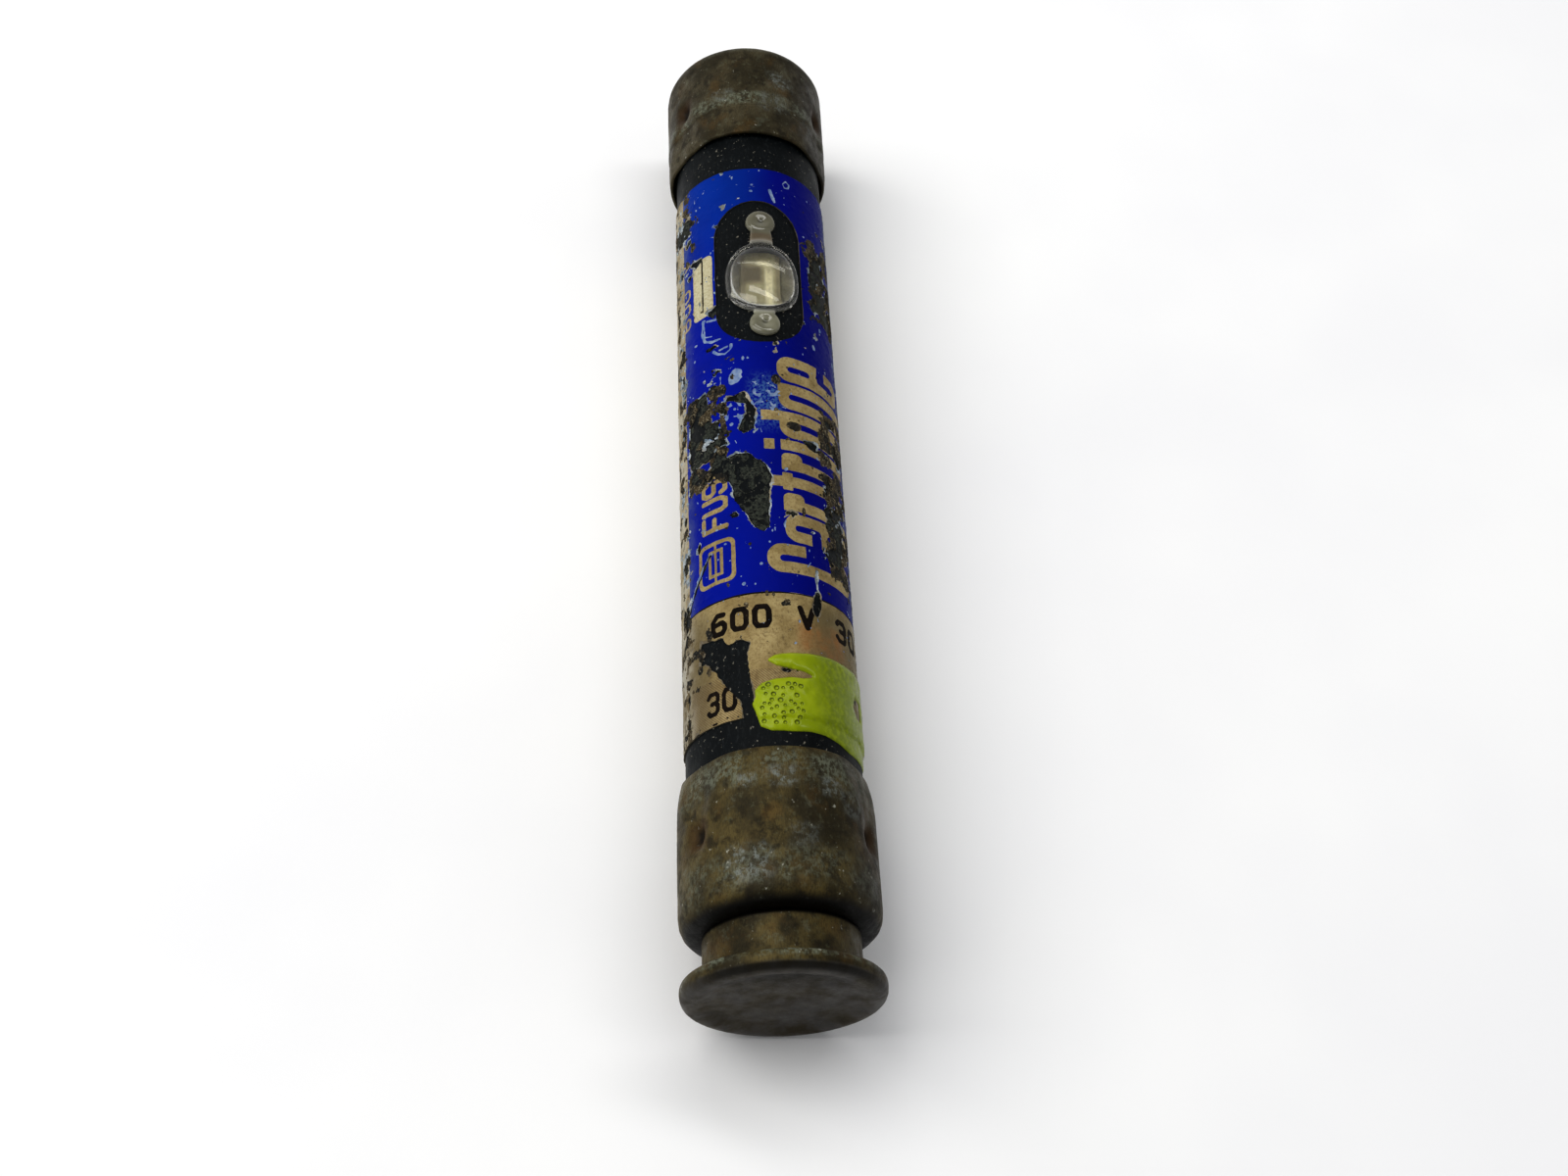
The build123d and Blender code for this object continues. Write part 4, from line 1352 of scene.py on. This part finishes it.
FINISHES = {
    "indicator_carrier": ("pale_fibre", (138, 134, 112), (112, 106, 86), 1.6, 0.7),
    "igniter_pad": ("igniter_felt", (196, 176, 140), (150, 128, 96), 0.6, 0.95, 0.0, 0.08),
    "igniter_wire": ("resistance_wire", (150, 146, 138), (122, 116, 108), 1.0, 0.35, 0.95),
    "heater_strip": ("resistance_strip", (146, 140, 128), (116, 108, 98), 1.6, 0.38, 0.9),
    "plain_contact_disc": ("contact_copper", (196, 118, 82), (158, 88, 60), 2.5, 0.34, 0.95),
    "plain_end_solder": ("end_solder", (168, 170, 172), (134, 136, 140), 1.8, 0.36, 0.85),
    "plain_side_link": ("link_copper", (204, 124, 84), (170, 96, 64), 2.2, 0.3, 0.95, 0.02, 0.4, (4, 1, 1)),
    "plain_side_sand": ("quartz_sand", (214, 202, 178), (176, 160, 132), 0.7, 0.95, 0.0, 0.2, 0.35),
    "plain_side_barrier": ("barrier_fibre", (146, 112, 78), (118, 88, 60), 1.8, 0.75),
    "arc_liner": ("liner_fibre", (172, 138, 96), (142, 110, 74), 3.0, 0.72, 0.0, 0.02, 0.4, (3, 1, 1)),
    "trip_barrel": ("barrel_brass", (206, 172, 96), (176, 142, 72), 2.6, 0.28, 0.95, 0.02, 0.4, (1, 3, 3)),
    "trip_plunger": ("plunger_brass", (212, 180, 104), (184, 150, 80), 2.0, 0.24, 0.95, 0.02, 0.4, (1, 3, 3)),
    "heat_absorber": ("absorber_copper", (186, 108, 74), (150, 84, 58), 1.8, 0.36, 0.95),
    "fusible_alloy": ("fusible_metal", (182, 184, 188), (146, 148, 154), 0.9, 0.3, 0.9),
}
ALIKE = {
    "rejection_contact_disc": "plain_contact_disc",
    "rejection_end_solder": "plain_end_solder",
    "rejection_side_link": "plain_side_link",
    "rejection_side_sand": "plain_side_sand",
    "rejection_side_barrier": "plain_side_barrier",
    "barrel_end_plug": "trip_barrel",
    "barrel_guide_bush": "trip_barrel",
}
finishes = {node: plain_finish(*values) for node, values in FINISHES.items()}
finishes.update({node: finishes[other] for node, other in ALIKE.items()})
finishes["body_tube"] = black_fibre()
finishes["indicator_strip"] = cream_strip()
for node, material in finishes.items():
    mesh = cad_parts[node].data
    if not mesh.materials:
        mesh.materials.append(material)
    for k in range(len(mesh.materials)):
        mesh.materials[k] = material


# ---- floor, light and camera

FLOOR_Z = -FERRULE * MM
FLOOR_HALF = 2.5

stone = Shader("pale_floor", 0.9)
stone.base = stone.mix(stone.ramp(stone.noise(60, 3), 0.3, 0.7), (0.86, 0.86, 0.87, 1), (0.90, 0.90, 0.90, 1))
stone.bump(stone.noise(0.5, 3), 0.03, 0.25)
corners = [(FLOOR_HALF * x, FLOOR_HALF * y, FLOOR_Z) for x, y in ((-1, -1), (1, -1), (1, 1), (-1, 1))]
floor = make_mesh("pale_floor", corners, [(0, 1, 2, 3)], [stone.done()], False)

world = bpy.data.worlds.new("soft_studio")
bpy.context.scene.world = world
world.use_nodes = True
sky = world.node_tree
direction = add_node(sky, "TexCoord", {}).outputs["Generated"]
split = add_node(sky, "SeparateXYZ", {0: direction})
level = ramp(sky, split.outputs[2], 0.10, 0.80, 0.95, 0.32)
sideways = ramp(sky, split.outputs[1], -0.5, 0.8, 1.06, 0.80)
share = add_node(sky, "Math", {0: level, 1: sideways}, operation="MULTIPLY")
sky.links.new(share.outputs[0], sky.nodes["Background"].inputs["Strength"])
sky.nodes["Background"].inputs["Color"].default_value = (0.98, 0.99, 1.0, 1)


def soft_box(name, place, width, depth, power, colour):
    """A rectangular lamp that points at the fuse."""
    data = bpy.data.lights.new(name, "AREA")
    data.shape = "RECTANGLE"
    data.size = width
    data.size_y = depth
    data.energy = power
    data.color = colour
    lamp = bpy.data.objects.new(name, data)
    lamp.location = place
    lamp.rotation_euler = (-Vector(place)).to_track_quat("-Z", "Y").to_euler()
    bpy.context.scene.collection.objects.link(lamp)


soft_box("key_window", (-0.10, -0.60, 0.80), 0.55, 0.9, 7.0, (1.0, 0.99, 0.97))
soft_box("long_strip", (-0.30, 0.10, 0.70), 0.9, 0.12, 2.0, (1, 1, 1))

# Fitted to the outline in the photograph
FOCAL_LENGTH = 40.595
SENSOR_WIDTH = 36.0
CAMERA_PLACE = (122.513, -23.436, 165.631)

camera_data = bpy.data.cameras.new("camera")
camera_data.lens = FOCAL_LENGTH
camera_data.sensor_width = SENSOR_WIDTH
camera = bpy.data.objects.new("camera", camera_data)
right = Vector((0.04344, 0.99126, 0.12455))
up = Vector((-0.84051, -0.03113, 0.54090))
forward = Vector((-0.54005, 0.12818, -0.83181))
pose = Matrix((right, up, -forward)).transposed().to_4x4()
pose.translation = Vector(CAMERA_PLACE) * MM
camera.matrix_world = pose
bpy.context.scene.collection.objects.link(camera)
bpy.context.scene.camera = camera
bpy.context.scene.view_settings.view_transform = "Standard"
bpy.context.scene.view_settings.look = "None"
bpy.context.scene.view_settings.gamma = 0.8

bpy.context.view_layer.update()
